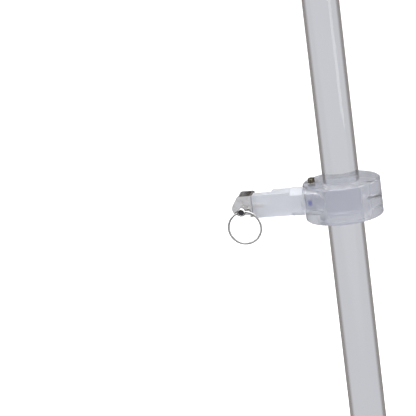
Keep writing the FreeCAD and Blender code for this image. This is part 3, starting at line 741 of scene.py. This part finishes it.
washer_outline = rounded_outline([
    (washer_inner, washer_bottom), (washer_outer, washer_bottom), (washer_outer, rod_bolt_seat),
    (washer_inner, rod_bolt_seat)], 0.00025)
rod_washer = mesh_object("rod_washer_piece", lathe(washer_outline, 96, closed=True))
rod_washer = settle(rod_washer, [plain_steel], on_rod)
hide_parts("rod_washer")
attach(rod_washer, "base")

# ======================================================================================
# Base socket: a boss of translucent satin acrylic with its top cut square to the rod and a
# leaning bore for it. It is machined all over, so the screws inside show only softly.
# ======================================================================================

turned_finish = satin_acrylic("satin_acrylic", (0.80, 0.82, 0.88), 0.86, 0.12, 0.18)
faced_finish = satin_acrylic("machined_acrylic", (0.80, 0.82, 0.88), 0.80, 0.35, 0.42)

rod_low, rod_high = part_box("upright_rod")
rod_radius = (rod_high.y - rod_low.y) / 2
bore_radius = rod_radius + 0.00005
socket_depth = 0.035
socket_rim = 0.0012
set_screw_height = 0.019
boss_height = 0.08
boss = mesh_object("base_socket_piece", lathe([
    (0, 0), (socket_radius, 0), (socket_radius, boss_height), (0, boss_height)], 192))
boss.data.transform(Matrix.Translation((socket_x, 0, plate_high.z)))
above = round_cutter(0.08, on_rod @ Vector((0, 0, socket_depth)), rod_axis, 0.08)
boss = soften(combine(boss, above), socket_rim, 3)
socket_cutters = [
    round_cutter(bore_radius, rod_foot, rod_axis, 0.08, 192),
    round_cutter(rod_bolt_hole, rod_foot - rod_axis * 0.03, rod_axis, 0.031),
    round_cutter(cap_shank + 0.00005, on_rod @ Vector((0.005, 0, set_screw_height)), rod_side, 0.04)]
for x, y in socket_screw_places:
    socket_cutters.append(hole_up(shank_hole, x, y, plate_high.z, cap_seat + socket_screw_length))
socket = combine(boss, *socket_cutters)


def outer_wall(face):
    """Which finish a face of the socket takes: 0 on its upright side, 1 elsewhere."""
    out = Vector((face.center.x - socket_x, face.center.y, 0))
    return 0 if out.length > socket_radius - 0.0001 and abs(face.normal.z) < 0.01 else 1


socket = settle(socket, [turned_finish, faced_finish], choose=outer_wall)
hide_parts("base_socket")
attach(socket, "base")

# ======================================================================================
# Cradle: a clear turned post screwed to the base, a satin acrylic saddle with a round trough,
# and a strip of soft silicone glued in the trough, where the instrument's bow rests.
# ======================================================================================

post_radius = (post_high.y - post_low.y) / 2
post_height = post_high.z - post_low.z
post_outline = rounded_outline([
    (0, 0), (post_radius, 0), (post_radius, post_height), (0, post_height)], 0.0004)
post = mesh_object("rest_post_piece", lathe(post_outline, 128))
post.data.transform(Matrix.Translation((cradle_x, 0, post_low.z)))
post_holes = [hole_up(shank_hole, x, y, post_low.z, post_low.z + 0.019) for x, y in rest_screw_places]
post = settle(combine(post, *post_holes), [plate_finish, milled_finish], choose=milled_side)
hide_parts("rest_post")
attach(post, "base")

saddle_low, saddle_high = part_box("rest_saddle")
saddle_corner = 0.008
trough_radius = 0.036
trough_depth = 0.012
trough_axis_z = saddle_high.z - trough_depth + trough_radius
saddle = mesh_object("rest_saddle_piece", rounded_slab(saddle_low, saddle_high, saddle_corner))
trough = round_cutter(trough_radius, (saddle_low.x - 0.01, 0, trough_axis_z), (1, 0, 0), 0.08, 192)
saddle = soften(combine(saddle, trough), 0.0008, 3, 30)
saddle_holes = [hole_up(shank_hole, x, y, saddle_low.z, cap_seat + rest_screw_length)
                for x, y in rest_screw_places]
saddle = settle(combine(saddle, *saddle_holes), [turned_finish])
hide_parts("rest_saddle")
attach(saddle, "base")

silicone_finish = soft_grip("clear_silicone", (0.52, 0.54, 0.57), (0.45, 0.47, 0.49), 0.42, 0.35)
pad_low, pad_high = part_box("rest_pad")
pad_thickness = 0.003
pad_outer = trough_radius - 0.00005
pad_inner = pad_outer - pad_thickness
pad_reach = math.acos((trough_axis_z - pad_high.z) / pad_outer) - 0.004      # half its angle, in radians
pad_steps = 48
pad = bmesh.new()
section = []
for radius, turns in ((pad_outer, range(pad_steps + 1)), (pad_inner, range(pad_steps, -1, -1))):
    for i in turns:
        a = pad_reach * (2 * i / pad_steps - 1)
        point = (pad_low.x, radius * math.sin(a), trough_axis_z - radius * math.cos(a))
        section.append(pad.verts.new(point))
end = pad.faces.new(section)
pulled = bmesh.ops.extrude_face_region(pad, geom=[end])["geom"]
far_end = [part for part in pulled if isinstance(part, bmesh.types.BMVert)]
bmesh.ops.translate(pad, vec=(pad_high.x - pad_low.x, 0, 0), verts=far_end)
bmesh.ops.recalc_face_normals(pad, faces=pad.faces)
pad_piece = settle(soften(mesh_object("rest_pad_piece", pad), 0.0007, 3), [silicone_finish])
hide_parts("rest_pad")
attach(pad_piece, "base")

# ======================================================================================
# Upright rod: 25 mm solid cast acrylic, polished, with a turned chamfer at each end. A
# knurled brass insert is pressed into a blind hole in its foot for the bolt.
# ======================================================================================

# the rod's brownish dark edges, where the camera sees it edge on, are painted shade
rod_finish = clear_acrylic("rod_acrylic", (0.985, 0.988, 0.995), 6.0, (0.29, 0.262, 0.235), 0.36)

rod_start = 0.0001
rod_end = 0.610
rod_chamfer = 0.0012
insert_radius = 0.0055
insert_end = 0.0181
hole_radius = insert_radius + seat_gap
rod_outline = rounded_outline([
    (0, insert_end), (hole_radius, insert_end), (hole_radius, rod_start),
    (rod_radius - rod_chamfer, rod_start), (rod_radius, rod_start + rod_chamfer),
    (rod_radius, rod_end - rod_chamfer), (rod_radius - rod_chamfer, rod_end), (0, rod_end)], 0.00025)
rod = settle(mesh_object("upright_rod_piece", lathe(rod_outline, 192)), [rod_finish], on_rod)
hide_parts("upright_rod")
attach(rod, "upright")

brass_finish = steel("knurled_brass", (0.72, 0.52, 0.24), (0.55, 0.38, 0.17), 0.22, 0.38)


def knurled_insert(name, inner, outer, start, end, teeth, knurl_depth):
    """A threaded insert: two bands of straight knurls with a plain groove between them."""
    middle, band = (start + end) / 2, (end - start) * 0.08
    sleeve = lathe([
        (inner, start), (outer - knurl_depth, start), (outer, start + knurl_depth), (outer, middle - band),
        (outer - knurl_depth, middle - band), (outer - knurl_depth, middle + band), (outer, middle + band),
        (outer, end - knurl_depth), (outer - knurl_depth, end), (inner, end)], 2 * teeth, closed=True)
    keep = (outer - knurl_depth) / outer
    for vert in sleeve.verts:
        tooth = round(math.atan2(vert.co.y, vert.co.x) / math.tau * 2 * teeth)
        if tooth % 2 and math.hypot(vert.co.x, vert.co.y) > outer - knurl_depth / 2:
            vert.co.x *= keep
            vert.co.y *= keep
    return mesh_object(name, sleeve)


insert_bore = 0.00405
rod_insert = knurled_insert(
    "rod_insert_piece", insert_bore, insert_radius, rod_start, insert_end, 36, 0.0003)
rod_insert = settle(rod_insert, [brass_finish], on_rod, crease=20)
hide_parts("rod_insert")
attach(rod_insert, "upright")

# ======================================================================================
# Socket set screw: a dark oxidised set screw in the socket's side, whose nylon tip presses
# on the rod and stops it from turning.
# ======================================================================================

# dark oxide, rubbed bright on the crests of the thread
dark_finish, tree, shader = new_finish("dark_oxide")
shader.inputs["Metallic"].default_value = 1.0
convex = add_node(tree, "ShaderNodeNewGeometry").outputs["Pointiness"]
rubbed = between(tree, convex, 0.0, 1.0, 0.55, 0.66)
oxide = place_group(tree, smudges, scale=400.0, clean=0.42).outputs["Mark"]
coating = blend(tree, oxide, (0.17, 0.14, 0.10), (0.10, 0.085, 0.06))
tree.links.new(blend(tree, rubbed, coating, (0.72, 0.66, 0.55)), shader.inputs["Base Color"])
tree.links.new(between(tree, rubbed, 0.30, 0.10), shader.inputs["Roughness"])

nylon_finish = soft_grip("natural_nylon", (0.83, 0.83, 0.80), (0.76, 0.75, 0.71), 0.40, 0.3)
outwards = Matrix.Rotation(math.pi / 2, 4, "Y")         # turns local Z to the rod's side


def set_screw(name, place, radius, length, pitch, key, finish):
    """A headless screw from its tip at the origin of place, with its key recess at the far end."""
    worker = grow(
        name, screw_tree, [(0, 0, 0)], radius=radius, length=length, pitch=pitch,
        depth=pitch * thread_depth, key=key, key_start=length - key, key_depth=2 * key, finish=finish)
    return settle(worker, place=place)


def tip_pad(name, place, radius, length):
    """A nylon pad with rounded ends, from the origin of place."""
    pad = lathe(rounded_outline([(0, 0), (radius, 0), (radius, length), (0, length)], radius * 0.2), 48)
    return settle(mesh_object(name, pad), [nylon_finish], place)


m5_set = {"radius": 0.0025, "pitch": 0.0008, "key": 0.0025, "finish": dark_finish}
m3_set = {"radius": 0.0015, "pitch": 0.0005, "key": 0.0015, "finish": dark_finish}

tip_start = rod_radius + 0.0001
socket_tip_radius = 0.00248
socket_tip_length = 0.0025
socket_set_screw_length = 0.012
at_socket = on_rod @ Matrix.Translation((tip_start, 0, set_screw_height)) @ outwards
socket_tip = tip_pad("socket_screw_tip_piece", at_socket, socket_tip_radius, socket_tip_length)
past_tip = at_socket @ Matrix.Translation((0, 0, socket_tip_length))
socket_set_screw = set_screw("socket_set_screw_piece", past_tip, length=socket_set_screw_length, **m5_set)
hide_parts("socket_screw_tip")
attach(socket_tip, "socket_screw")
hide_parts("socket_set_screw")
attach(socket_set_screw, "socket_screw")

# ======================================================================================
# Collar: a ring of translucent acrylic bored to slide on the rod. It is turned with satin
# faces; a radial socket takes the arm, and a hole from the top takes the arm's set screw.
# ======================================================================================

collar_low, collar_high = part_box("collar")
collar_radius = (collar_high.y - collar_low.y) / 2
collar_height = 0.025
collar_middle = 0.375
collar_bevel = 0.0007
spigot_radius = 0.009
arm_screw_x = -0.0205
collar_screw_hole = 0.00155
collar_bottom = collar_middle - collar_height / 2
collar_top = collar_middle + collar_height / 2
collar_outline = rounded_outline([
    (bore_radius, collar_bottom), (collar_radius - collar_bevel, collar_bottom),
    (collar_radius, collar_bottom + collar_bevel), (collar_radius, collar_top - collar_bevel),
    (collar_radius - collar_bevel, collar_top), (bore_radius, collar_top)], 0.0002)
collar = combine(
    mesh_object("collar_piece", lathe(collar_outline, 192, closed=True)),
    round_cutter(spigot_radius + seat_gap, (-0.005, 0, collar_middle), (-1, 0, 0), 0.03, 96),
    round_cutter(shank_hole, (arm_screw_x, 0, collar_middle), (0, 0, 1), 0.03),
    round_cutter(collar_screw_hole, (0.005, 0, collar_middle), (1, 0, 0), 0.03, 48))
collar_finish = satin_acrylic("collar_acrylic", (0.75, 0.76, 0.80), 0.90, 0.11, 0.17)
collar = settle(collar, [collar_finish], on_rod)
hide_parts("collar")
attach(collar, "collar_and_arm")

# ======================================================================================
# Arm: turned and milled from one bar of the same acrylic. A round spigot in the collar, a
# round shoulder, a flat-sided block, and a thinner tongue that the steel clevis bolts to.
# ======================================================================================


def box_shape(low, high):
    """A bmesh box between two corners."""
    shape = bmesh.new()
    bmesh.ops.create_cube(shape, size=1.0)
    bmesh.ops.scale(shape, vec=Vector(high) - Vector(low), verts=shape.verts)
    bmesh.ops.translate(shape, vec=(Vector(low) + Vector(high)) / 2, verts=shape.verts)
    return shape


arm_finish = satin_acrylic("arm_acrylic", (0.80, 0.815, 0.85), 0.62, 0.30, 0.38)
spigot_finish = satin_acrylic("spigot_acrylic", (0.97, 0.975, 0.985), 0.97, 0.05, 0.09)

# a drop of the blue thread locker has crept round the spigot and dried on its front
tree = spigot_finish.node_tree
shader = tree.nodes["Principled BSDF"]
drop_place = on_rod @ Vector((-0.0179, -0.009, collar_middle + 0.001))
drop_radius = 0.0026
spot = add_node(tree, "ShaderNodeTexCoord").outputs["Object"]
ragged = add_node(tree, "ShaderNodeTexNoise", {
    "Vector": spot, "Scale": 900.0, "Detail": 2.0}).outputs["Fac"]
from_drop = add_node(tree, "ShaderNodeVectorMath", {
    0: spot, 1: drop_place}, operation="DISTANCE").outputs["Value"]
edge = reckon(tree, "ADD", from_drop, reckon(tree, "MULTIPLY", ragged, 0.0008))
drop = between(tree, edge, 1.0, 0.0, drop_radius * 0.6, drop_radius * 1.2)
plain = shader.inputs["Base Color"].links[0].from_socket
tree.links.new(blend(tree, drop, plain, (0.0005, 0.004, 0.60)), shader.inputs["Base Color"])

spigot_end = 0.013
arm_bar_radius = 0.00975
shoulder_end = 0.0352
block_end = 0.0495
arm_end = 0.0615
arm_height = 0.0158
arm_front = -0.00775
arm_back = 0.00775
tongue_back = arm_front + 0.0085
tongue_corner = 0.003
bracket_screw_y = -0.00275
bracket_insert_radius = 0.0022
overlap = 0.0001


def arm_box(near, far, front, back, half_height=arm_height / 2):
    """A box on the arm's line, between two distances from the rod's axis."""
    return box_shape((-far, front, collar_middle - half_height), (-near, back, collar_middle + half_height))


shoulder_start = (-collar_radius - seat_gap, 0, collar_middle)
shoulder = combine(
    round_cutter(arm_bar_radius, shoulder_start, (-1, 0, 0), shoulder_end - collar_radius, 96),
    mesh_object("flat", arm_box(collar_radius - past, shoulder_end + past, arm_front, 0.012, 0.012)),
    operation="INTERSECT")
tongue = arm_box(block_end - overlap, arm_end, arm_front, tongue_back)
lower_corner = [edge for edge in tongue.edges if all(
    abs(vert.co.x + arm_end) < overlap and vert.co.z < collar_middle for vert in edge.verts)]
bmesh.ops.bevel(tongue, geom=lower_corner, offset=tongue_corner, segments=8, profile=0.5, affect="EDGES")
arm = combine(
    mesh_object("arm_piece", arm_box(shoulder_end - overlap, block_end, arm_front, arm_back)),
    shoulder, mesh_object("tongue", tongue),
    round_cutter(
        spigot_radius, (-spigot_end, 0, collar_middle), (-1, 0, 0), collar_radius - spigot_end + past, 96),
    operation="UNION")
arm_edge = 0.00035
bracket_hole_depth = 0.0085
bracket_hole_start = (-arm_end - past, bracket_screw_y, collar_middle)
arm = combine(
    soften(arm, arm_edge),
    round_cutter(shank_hole, (arm_screw_x, 0, collar_middle), (0, 0, 1), 0.02),
    round_cutter(
        bracket_insert_radius + seat_gap, bracket_hole_start, (1, 0, 0), bracket_hole_depth + past, 48))
arm = settle(arm, [arm_finish, spigot_finish], on_rod, lambda face: int(face.center.x > -collar_radius))
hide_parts("arm")
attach(arm, "collar_and_arm")

# ======================================================================================
# Arm set screw: a bronze-dark set screw down through the collar into the spigot, standing a
# few threads proud of the collar. Blue thread locker has set at its tip.
# ======================================================================================

locker_depth = 0.0015
collar_proud = 0.003
arm_screw_start = collar_middle + locker_depth
at_arm_screw = on_rod @ Matrix.Translation((arm_screw_x, 0, arm_screw_start))
arm_screw_length = collar_top + collar_proud - arm_screw_start
arm_set_screw = set_screw("arm_set_screw_piece", at_arm_screw, length=arm_screw_length, **m5_set)
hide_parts("arm_set_screw")
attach(arm_set_screw, "collar_and_arm")

locker_finish, tree, shader = new_finish("thread_locker_blue")
shader.inputs["IOR"].default_value = 1.48
shader.inputs["Transmission Weight"].default_value = 0.35
cured = place_group(tree, smudges, scale=500.0, clean=0.42).outputs["Mark"]
tree.links.new(blend(tree, cured, (0.05, 0.12, 0.62), (0.16, 0.28, 0.80)), shader.inputs["Base Color"])
tree.links.new(between(tree, cured, 0.18, 0.4), shader.inputs["Roughness"])

locker_radius = 0.00249
locker_bulge = 0.0005
locker_outline = [(0, 0)]
for i in range(1, 8):
    a = math.radians(90 * i / 7)
    locker_outline.append((locker_radius * math.sin(a), locker_bulge - locker_bulge * math.cos(a)))
locker_outline += [
    (locker_radius, locker_depth - 0.0001), (0.0023, locker_depth - 0.00002), (0, locker_depth - 0.0004)]
locker = mesh_object("thread_locker_piece", lathe(locker_outline, 48))
locker = settle(locker, [locker_finish], on_rod @ Matrix.Translation((arm_screw_x, 0, collar_middle)))
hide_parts("thread_locker")
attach(locker, "collar_and_arm")

# ======================================================================================
# Collar set screw: a small dark set screw opposite the arm, with a nylon tip that
# presses on the rod and holds the collar at its height.
# ======================================================================================

collar_tip_radius = 0.00148
collar_tip_length = 0.0044
collar_set_screw_length = 0.007
at_collar = on_rod @ Matrix.Translation((tip_start, 0, collar_middle)) @ outwards
collar_tip = tip_pad("collar_screw_tip_piece", at_collar, collar_tip_radius, collar_tip_length)
past_tip = at_collar @ Matrix.Translation((0, 0, collar_tip_length))
collar_set_screw = set_screw("collar_set_screw_piece", past_tip, length=collar_set_screw_length, **m3_set)
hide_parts("collar_screw_tip")
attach(collar_tip, "collar_screw")
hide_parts("collar_set_screw")
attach(collar_set_screw, "collar_screw")

# ======================================================================================
# Clevis: a strip of 2 mm stainless steel bent to a U, with its cheeks cut round about the
# pin and its edges broken by tumbling. It is screwed to the tongue's end.
# ======================================================================================

polished_finish = steel(
    "polished_stainless", (0.74, 0.735, 0.73), (0.62, 0.60, 0.58), 0.07, 0.20, across=3600.0)

steel_thickness = 0.002
clevis_half = 0.00775
clevis_bend = 0.0026
clevis_top = 0.0079
clevis_bottom = -0.0072
cheek_bottom = -0.0055
cheek_top_reach = 0.0718
cheek_top_corner = 0.0016
lobe_x = -0.0712
lobe_z = -0.0006
clevis_reach = 0.0815
pin_x = -0.0688
pin_z = -0.0019
pin_radius = 0.002
edge_break = 0.00022


def arc(x, y, radius, start, end, steps=8):
    """Points on a circle about (x, y), between two angles in degrees."""
    turns = [math.radians(start + (end - start) * i / steps) for i in range(steps + 1)]
    return [(x + radius * math.cos(a), y + radius * math.sin(a), 0) for a in turns]


def prism(points, pull):
    """A bmesh of an outline of 3-D points, pulled along a vector."""
    shape = bmesh.new()
    end = shape.faces.new([shape.verts.new(point) for point in points])
    pulled = bmesh.ops.extrude_face_region(shape, geom=[end])["geom"]
    far_end = [part for part in pulled if isinstance(part, bmesh.types.BMVert)]
    bmesh.ops.translate(shape, vec=pull, verts=far_end)
    bmesh.ops.recalc_face_normals(shape, faces=shape.faces)
    return shape


# the bent strip from above
bend_x, bend_y = -arm_end - clevis_bend, clevis_half - clevis_bend
inner_bend = clevis_bend - steel_thickness
plan = [(-clevis_reach, -clevis_half, 0)]
plan += arc(bend_x, -bend_y, clevis_bend, -90, 0) + arc(bend_x, bend_y, clevis_bend, 0, 90)
plan += [(-clevis_reach, clevis_half, 0), (-clevis_reach, clevis_half - steel_thickness, 0)]
plan += arc(bend_x, bend_y, inner_bend, 90, 0, 4) + arc(bend_x, -bend_y, inner_bend, 0, -90, 4)
plan += [(-clevis_reach, -clevis_half + steel_thickness, 0)]
strip = prism([(x, y, collar_middle - 0.01) for x, y, _ in plan], (0, 0, 0.02))

# the cheek from the front, with its round end
lobe = lobe_z - cheek_bottom
to_lobe = Vector((lobe_x + cheek_top_reach, lobe_z - clevis_top))
tangent_turn = math.degrees(math.atan2(to_lobe.y, to_lobe.x) - math.asin(lobe / to_lobe.length)) + 270
web_inside = -arm_end - steel_thickness - 0.0005
side = [(web_inside, cheek_bottom), (web_inside, clevis_bottom), (-arm_end, clevis_bottom),
        (-arm_end, clevis_top), (-cheek_top_reach, clevis_top, cheek_top_corner)]
side += [(x, z) for x, z, _ in arc(lobe_x, lobe_z, lobe, tangent_turn, 270, 16)]
side = rounded_outline(side, 0)
cheeks = prism([(x, -0.02, collar_middle + z) for x, z in side], (0, 0.04, 0))
clevis = combine(
    mesh_object("clevis_bracket_piece", strip), mesh_object("cheeks", cheeks), operation="INTERSECT")
pin_clearance = 0.00005
bracket_hole = 0.0016
clevis = combine(
    clevis,
    round_cutter(pin_radius + pin_clearance, (pin_x, -0.02, collar_middle + pin_z), (0, 1, 0), 0.04),
    round_cutter(bracket_hole, (-arm_end - 0.004, bracket_screw_y, collar_middle), (1, 0, 0), 0.006, 48))
clevis = settle(soften(clevis, edge_break, 2, 30), [polished_finish], on_rod)
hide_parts("clevis_bracket")
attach(clevis, "collar_and_arm")

at_bracket = on_rod @ Matrix.Translation((-arm_end, bracket_screw_y, collar_middle)) @ outwards
bracket_screw_length = 0.008
bracket_insert_bore = 0.00152
bracket_insert_end = 0.0065
bracket_screw = cap_screws("bracket_screw_piece", [(0, 0, -steel_thickness)], length=bracket_screw_length,
                           place=at_bracket, **m3_button)
bracket_insert = knurled_insert("bracket_insert_piece", bracket_insert_bore, bracket_insert_radius, 0,
                                bracket_insert_end, 20, 0.00015)
bracket_insert = settle(bracket_insert, [brass_finish], at_bracket, crease=20)
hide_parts("bracket_screw")
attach(bracket_screw, "collar_and_arm")
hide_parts("bracket_insert")
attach(bracket_insert, "collar_and_arm")

# ======================================================================================
# Release pin: turned stainless steel with a plain head, cross-drilled for its ring. A ball
# on a small spring in its far end catches behind the rear cheek.
# ======================================================================================

# the floor of the head's shallow recess is painted near black: painted shade, standing in for the shade
# inside a deep hole
painted_recess_shade = steel("blackened_recess", (0.085, 0.085, 0.09), (0.05, 0.05, 0.05), 0.35, 0.5)

head_seat = -clevis_half - 0.00005
head_end = head_seat - 0.006
pin_rear = 0.0104
pin_chamfer = 0.0005
head_radius = 0.0029
ring_hole_y = -0.0116
ring_hole = 0.00135
ball_radius = 0.00075
ball_y = 0.0089
spring_length = 0.0016
ring_hang = math.radians(5)
ring_tangent = Vector((math.cos(ring_hang), 0, math.sin(ring_hang)))
ring_down = Vector((math.sin(ring_hang), 0, -math.cos(ring_hang)))
backwards = Matrix.Rotation(-math.pi / 2, 4, "X")       # turns local Z to the instrument's far side
at_pin = on_rod @ Matrix.Translation((pin_x, 0, collar_middle + pin_z))
recess_radius = 0.00215
recess_depth = 0.0005
head_chamfer = 0.0006
pin_rounding = 0.0001
pin_outline = rounded_outline([
    (0, head_end + recess_depth), (recess_radius, head_end + recess_depth), (recess_radius, head_end),
    (head_radius - head_chamfer, head_end), (head_radius, head_end + head_chamfer),
    (head_radius, head_seat, 2 * pin_rounding), (pin_radius, head_seat),
    (pin_radius, pin_rear - pin_chamfer), (pin_radius - pin_chamfer, pin_rear), (0, pin_rear)], pin_rounding)
pin = mesh_object("release_pin_piece", lathe(pin_outline, 64))
pin.data.transform(backwards)
ball_seat = pin_radius - 2 * ball_radius - spring_length
pin = combine(
    pin,
    round_cutter(ring_hole, Vector((0, ring_hole_y, 0)) - ring_tangent * 0.005, ring_tangent, 0.01, 32),
    round_cutter(ball_radius + seat_gap, (0, ball_y, ball_seat), (0, 0, 1), 0.005, 32))


def recess_floor(face):
    """Which finish a face of the pin takes: 1 on the floor of the head's recess, painted near black as
    shade.
    """
    return int(face.center.y < head_end + recess_depth + 0.0001 and abs(face.normal.y) > 0.9
               and math.hypot(face.center.x, face.center.z) < recess_radius)


pin = settle(pin, [polished_finish, painted_recess_shade], at_pin, recess_floor)
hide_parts("release_pin")
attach(pin, "pin")

ball_outline = [(0, -ball_radius)]
for i in range(1, 16):
    a = math.pi * i / 16
    ball_outline.append((ball_radius * math.sin(a), -ball_radius * math.cos(a)))
ball_outline.append((0, ball_radius))
ball_place = at_pin @ Matrix.Translation((0, ball_y, pin_radius - ball_radius))
ball = settle(mesh_object("detent_ball_piece", lathe(ball_outline, 32)), [plain_steel], ball_place)
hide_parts("detent_ball")
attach(ball, "pin")

# the coil: wire of an oval section wound about Z, used for the spring and the pull ring
coil_tree, given, result = new_tree("coil", {
    "Radius": ("Float", 0.01), "Turns": ("Float", 2.0), "Rise": ("Float", 0.001), "Wire": ("Float", 0.0005),
    "Flatness": ("Float", 1.0), "Steps": ("Int", 96), "Finish": ("Material", None)})
whole_rise = reckon(coil_tree, "MULTIPLY", given.outputs["Rise"], given.outputs["Turns"])
winding = add_node(coil_tree, "GeometryNodeCurveSpiral", {
    "Resolution": given.outputs["Steps"], "Rotations": given.outputs["Turns"], "Height": whole_rise,
    "Start Radius": given.outputs["Radius"], "End Radius": given.outputs["Radius"]})
section = add_node(coil_tree, "GeometryNodeCurvePrimitiveCircle", {
    "Resolution": 16, "Radius": given.outputs["Wire"]})
flat = add_node(coil_tree, "ShaderNodeCombineXYZ", {0: 1.0, 1: given.outputs["Flatness"], 2: 1.0})
oval = add_node(coil_tree, "GeometryNodeTransform", {
    "Geometry": section.outputs["Curve"], "Scale": flat.outputs[0]})
level_wire = add_node(coil_tree, "GeometryNodeSetCurveNormal", {
    "Curve": winding.outputs["Curve"]}, mode="Z_UP")
wire = add_node(coil_tree, "GeometryNodeCurveToMesh", {
    "Curve": level_wire.outputs["Curve"], "Profile Curve": oval.outputs["Geometry"], "Fill Caps": True})
half_down = reckon(coil_tree, "MULTIPLY", whole_rise, -0.5)
to_middle = add_node(coil_tree, "ShaderNodeCombineXYZ", {2: half_down})
centred = add_node(coil_tree, "GeometryNodeTransform", {
    "Geometry": wire.outputs["Mesh"], "Translation": to_middle.outputs[0]})
placed = add_node(coil_tree, "GeometryNodeInstanceOnPoints", {
    "Points": given.outputs["Geometry"], "Instance": centred.outputs["Geometry"]})
real = add_node(coil_tree, "GeometryNodeRealizeInstances", {"Geometry": placed.outputs["Instances"]})
coated = add_node(coil_tree, "GeometryNodeSetMaterial", {
    "Geometry": real.outputs["Geometry"], "Material": given.outputs["Finish"]})
coil_tree.links.new(coated.outputs["Geometry"], result.inputs["Geometry"])

spring_middle = ball_seat + spring_length / 2
spring = grow("detent_spring_piece", coil_tree, [(0, 0, 0)], radius=0.00056, turns=5.0, rise=0.00027,
              wire=0.00012, steps=24, finish=plain_steel)
spring = settle(spring, place=at_pin @ Matrix.Translation((0, ball_y, spring_middle)))
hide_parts("detent_spring")
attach(spring, "pin")

# ======================================================================================
# Pull ring: a split ring of flattened stainless spring wire, just under two turns, hanging
# from the cross hole in the pin's head.
# ======================================================================================

ring_finish = steel("ring_wire", (0.60, 0.595, 0.59), (0.48, 0.47, 0.46), 0.14, 0.28)

ring_radius = 0.01125
ring_wire = 0.00066
ring_flatness = 0.50            # of the wire, across the ring
ring_rise = 0.00068
ring_turns = 1.86
ring_place = at_pin @ Matrix.Translation(Vector((0, ring_hole_y, 0)) + ring_down * ring_radius) @ backwards
ring = grow("pull_ring_piece", coil_tree, [(0, 0, 0)], radius=ring_radius, turns=ring_turns, rise=ring_rise,
            wire=ring_wire, flatness=ring_flatness, steps=160, finish=ring_finish)
ring = settle(ring, place=ring_place, crease=60)
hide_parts("pull_ring")
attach(ring, "ring")
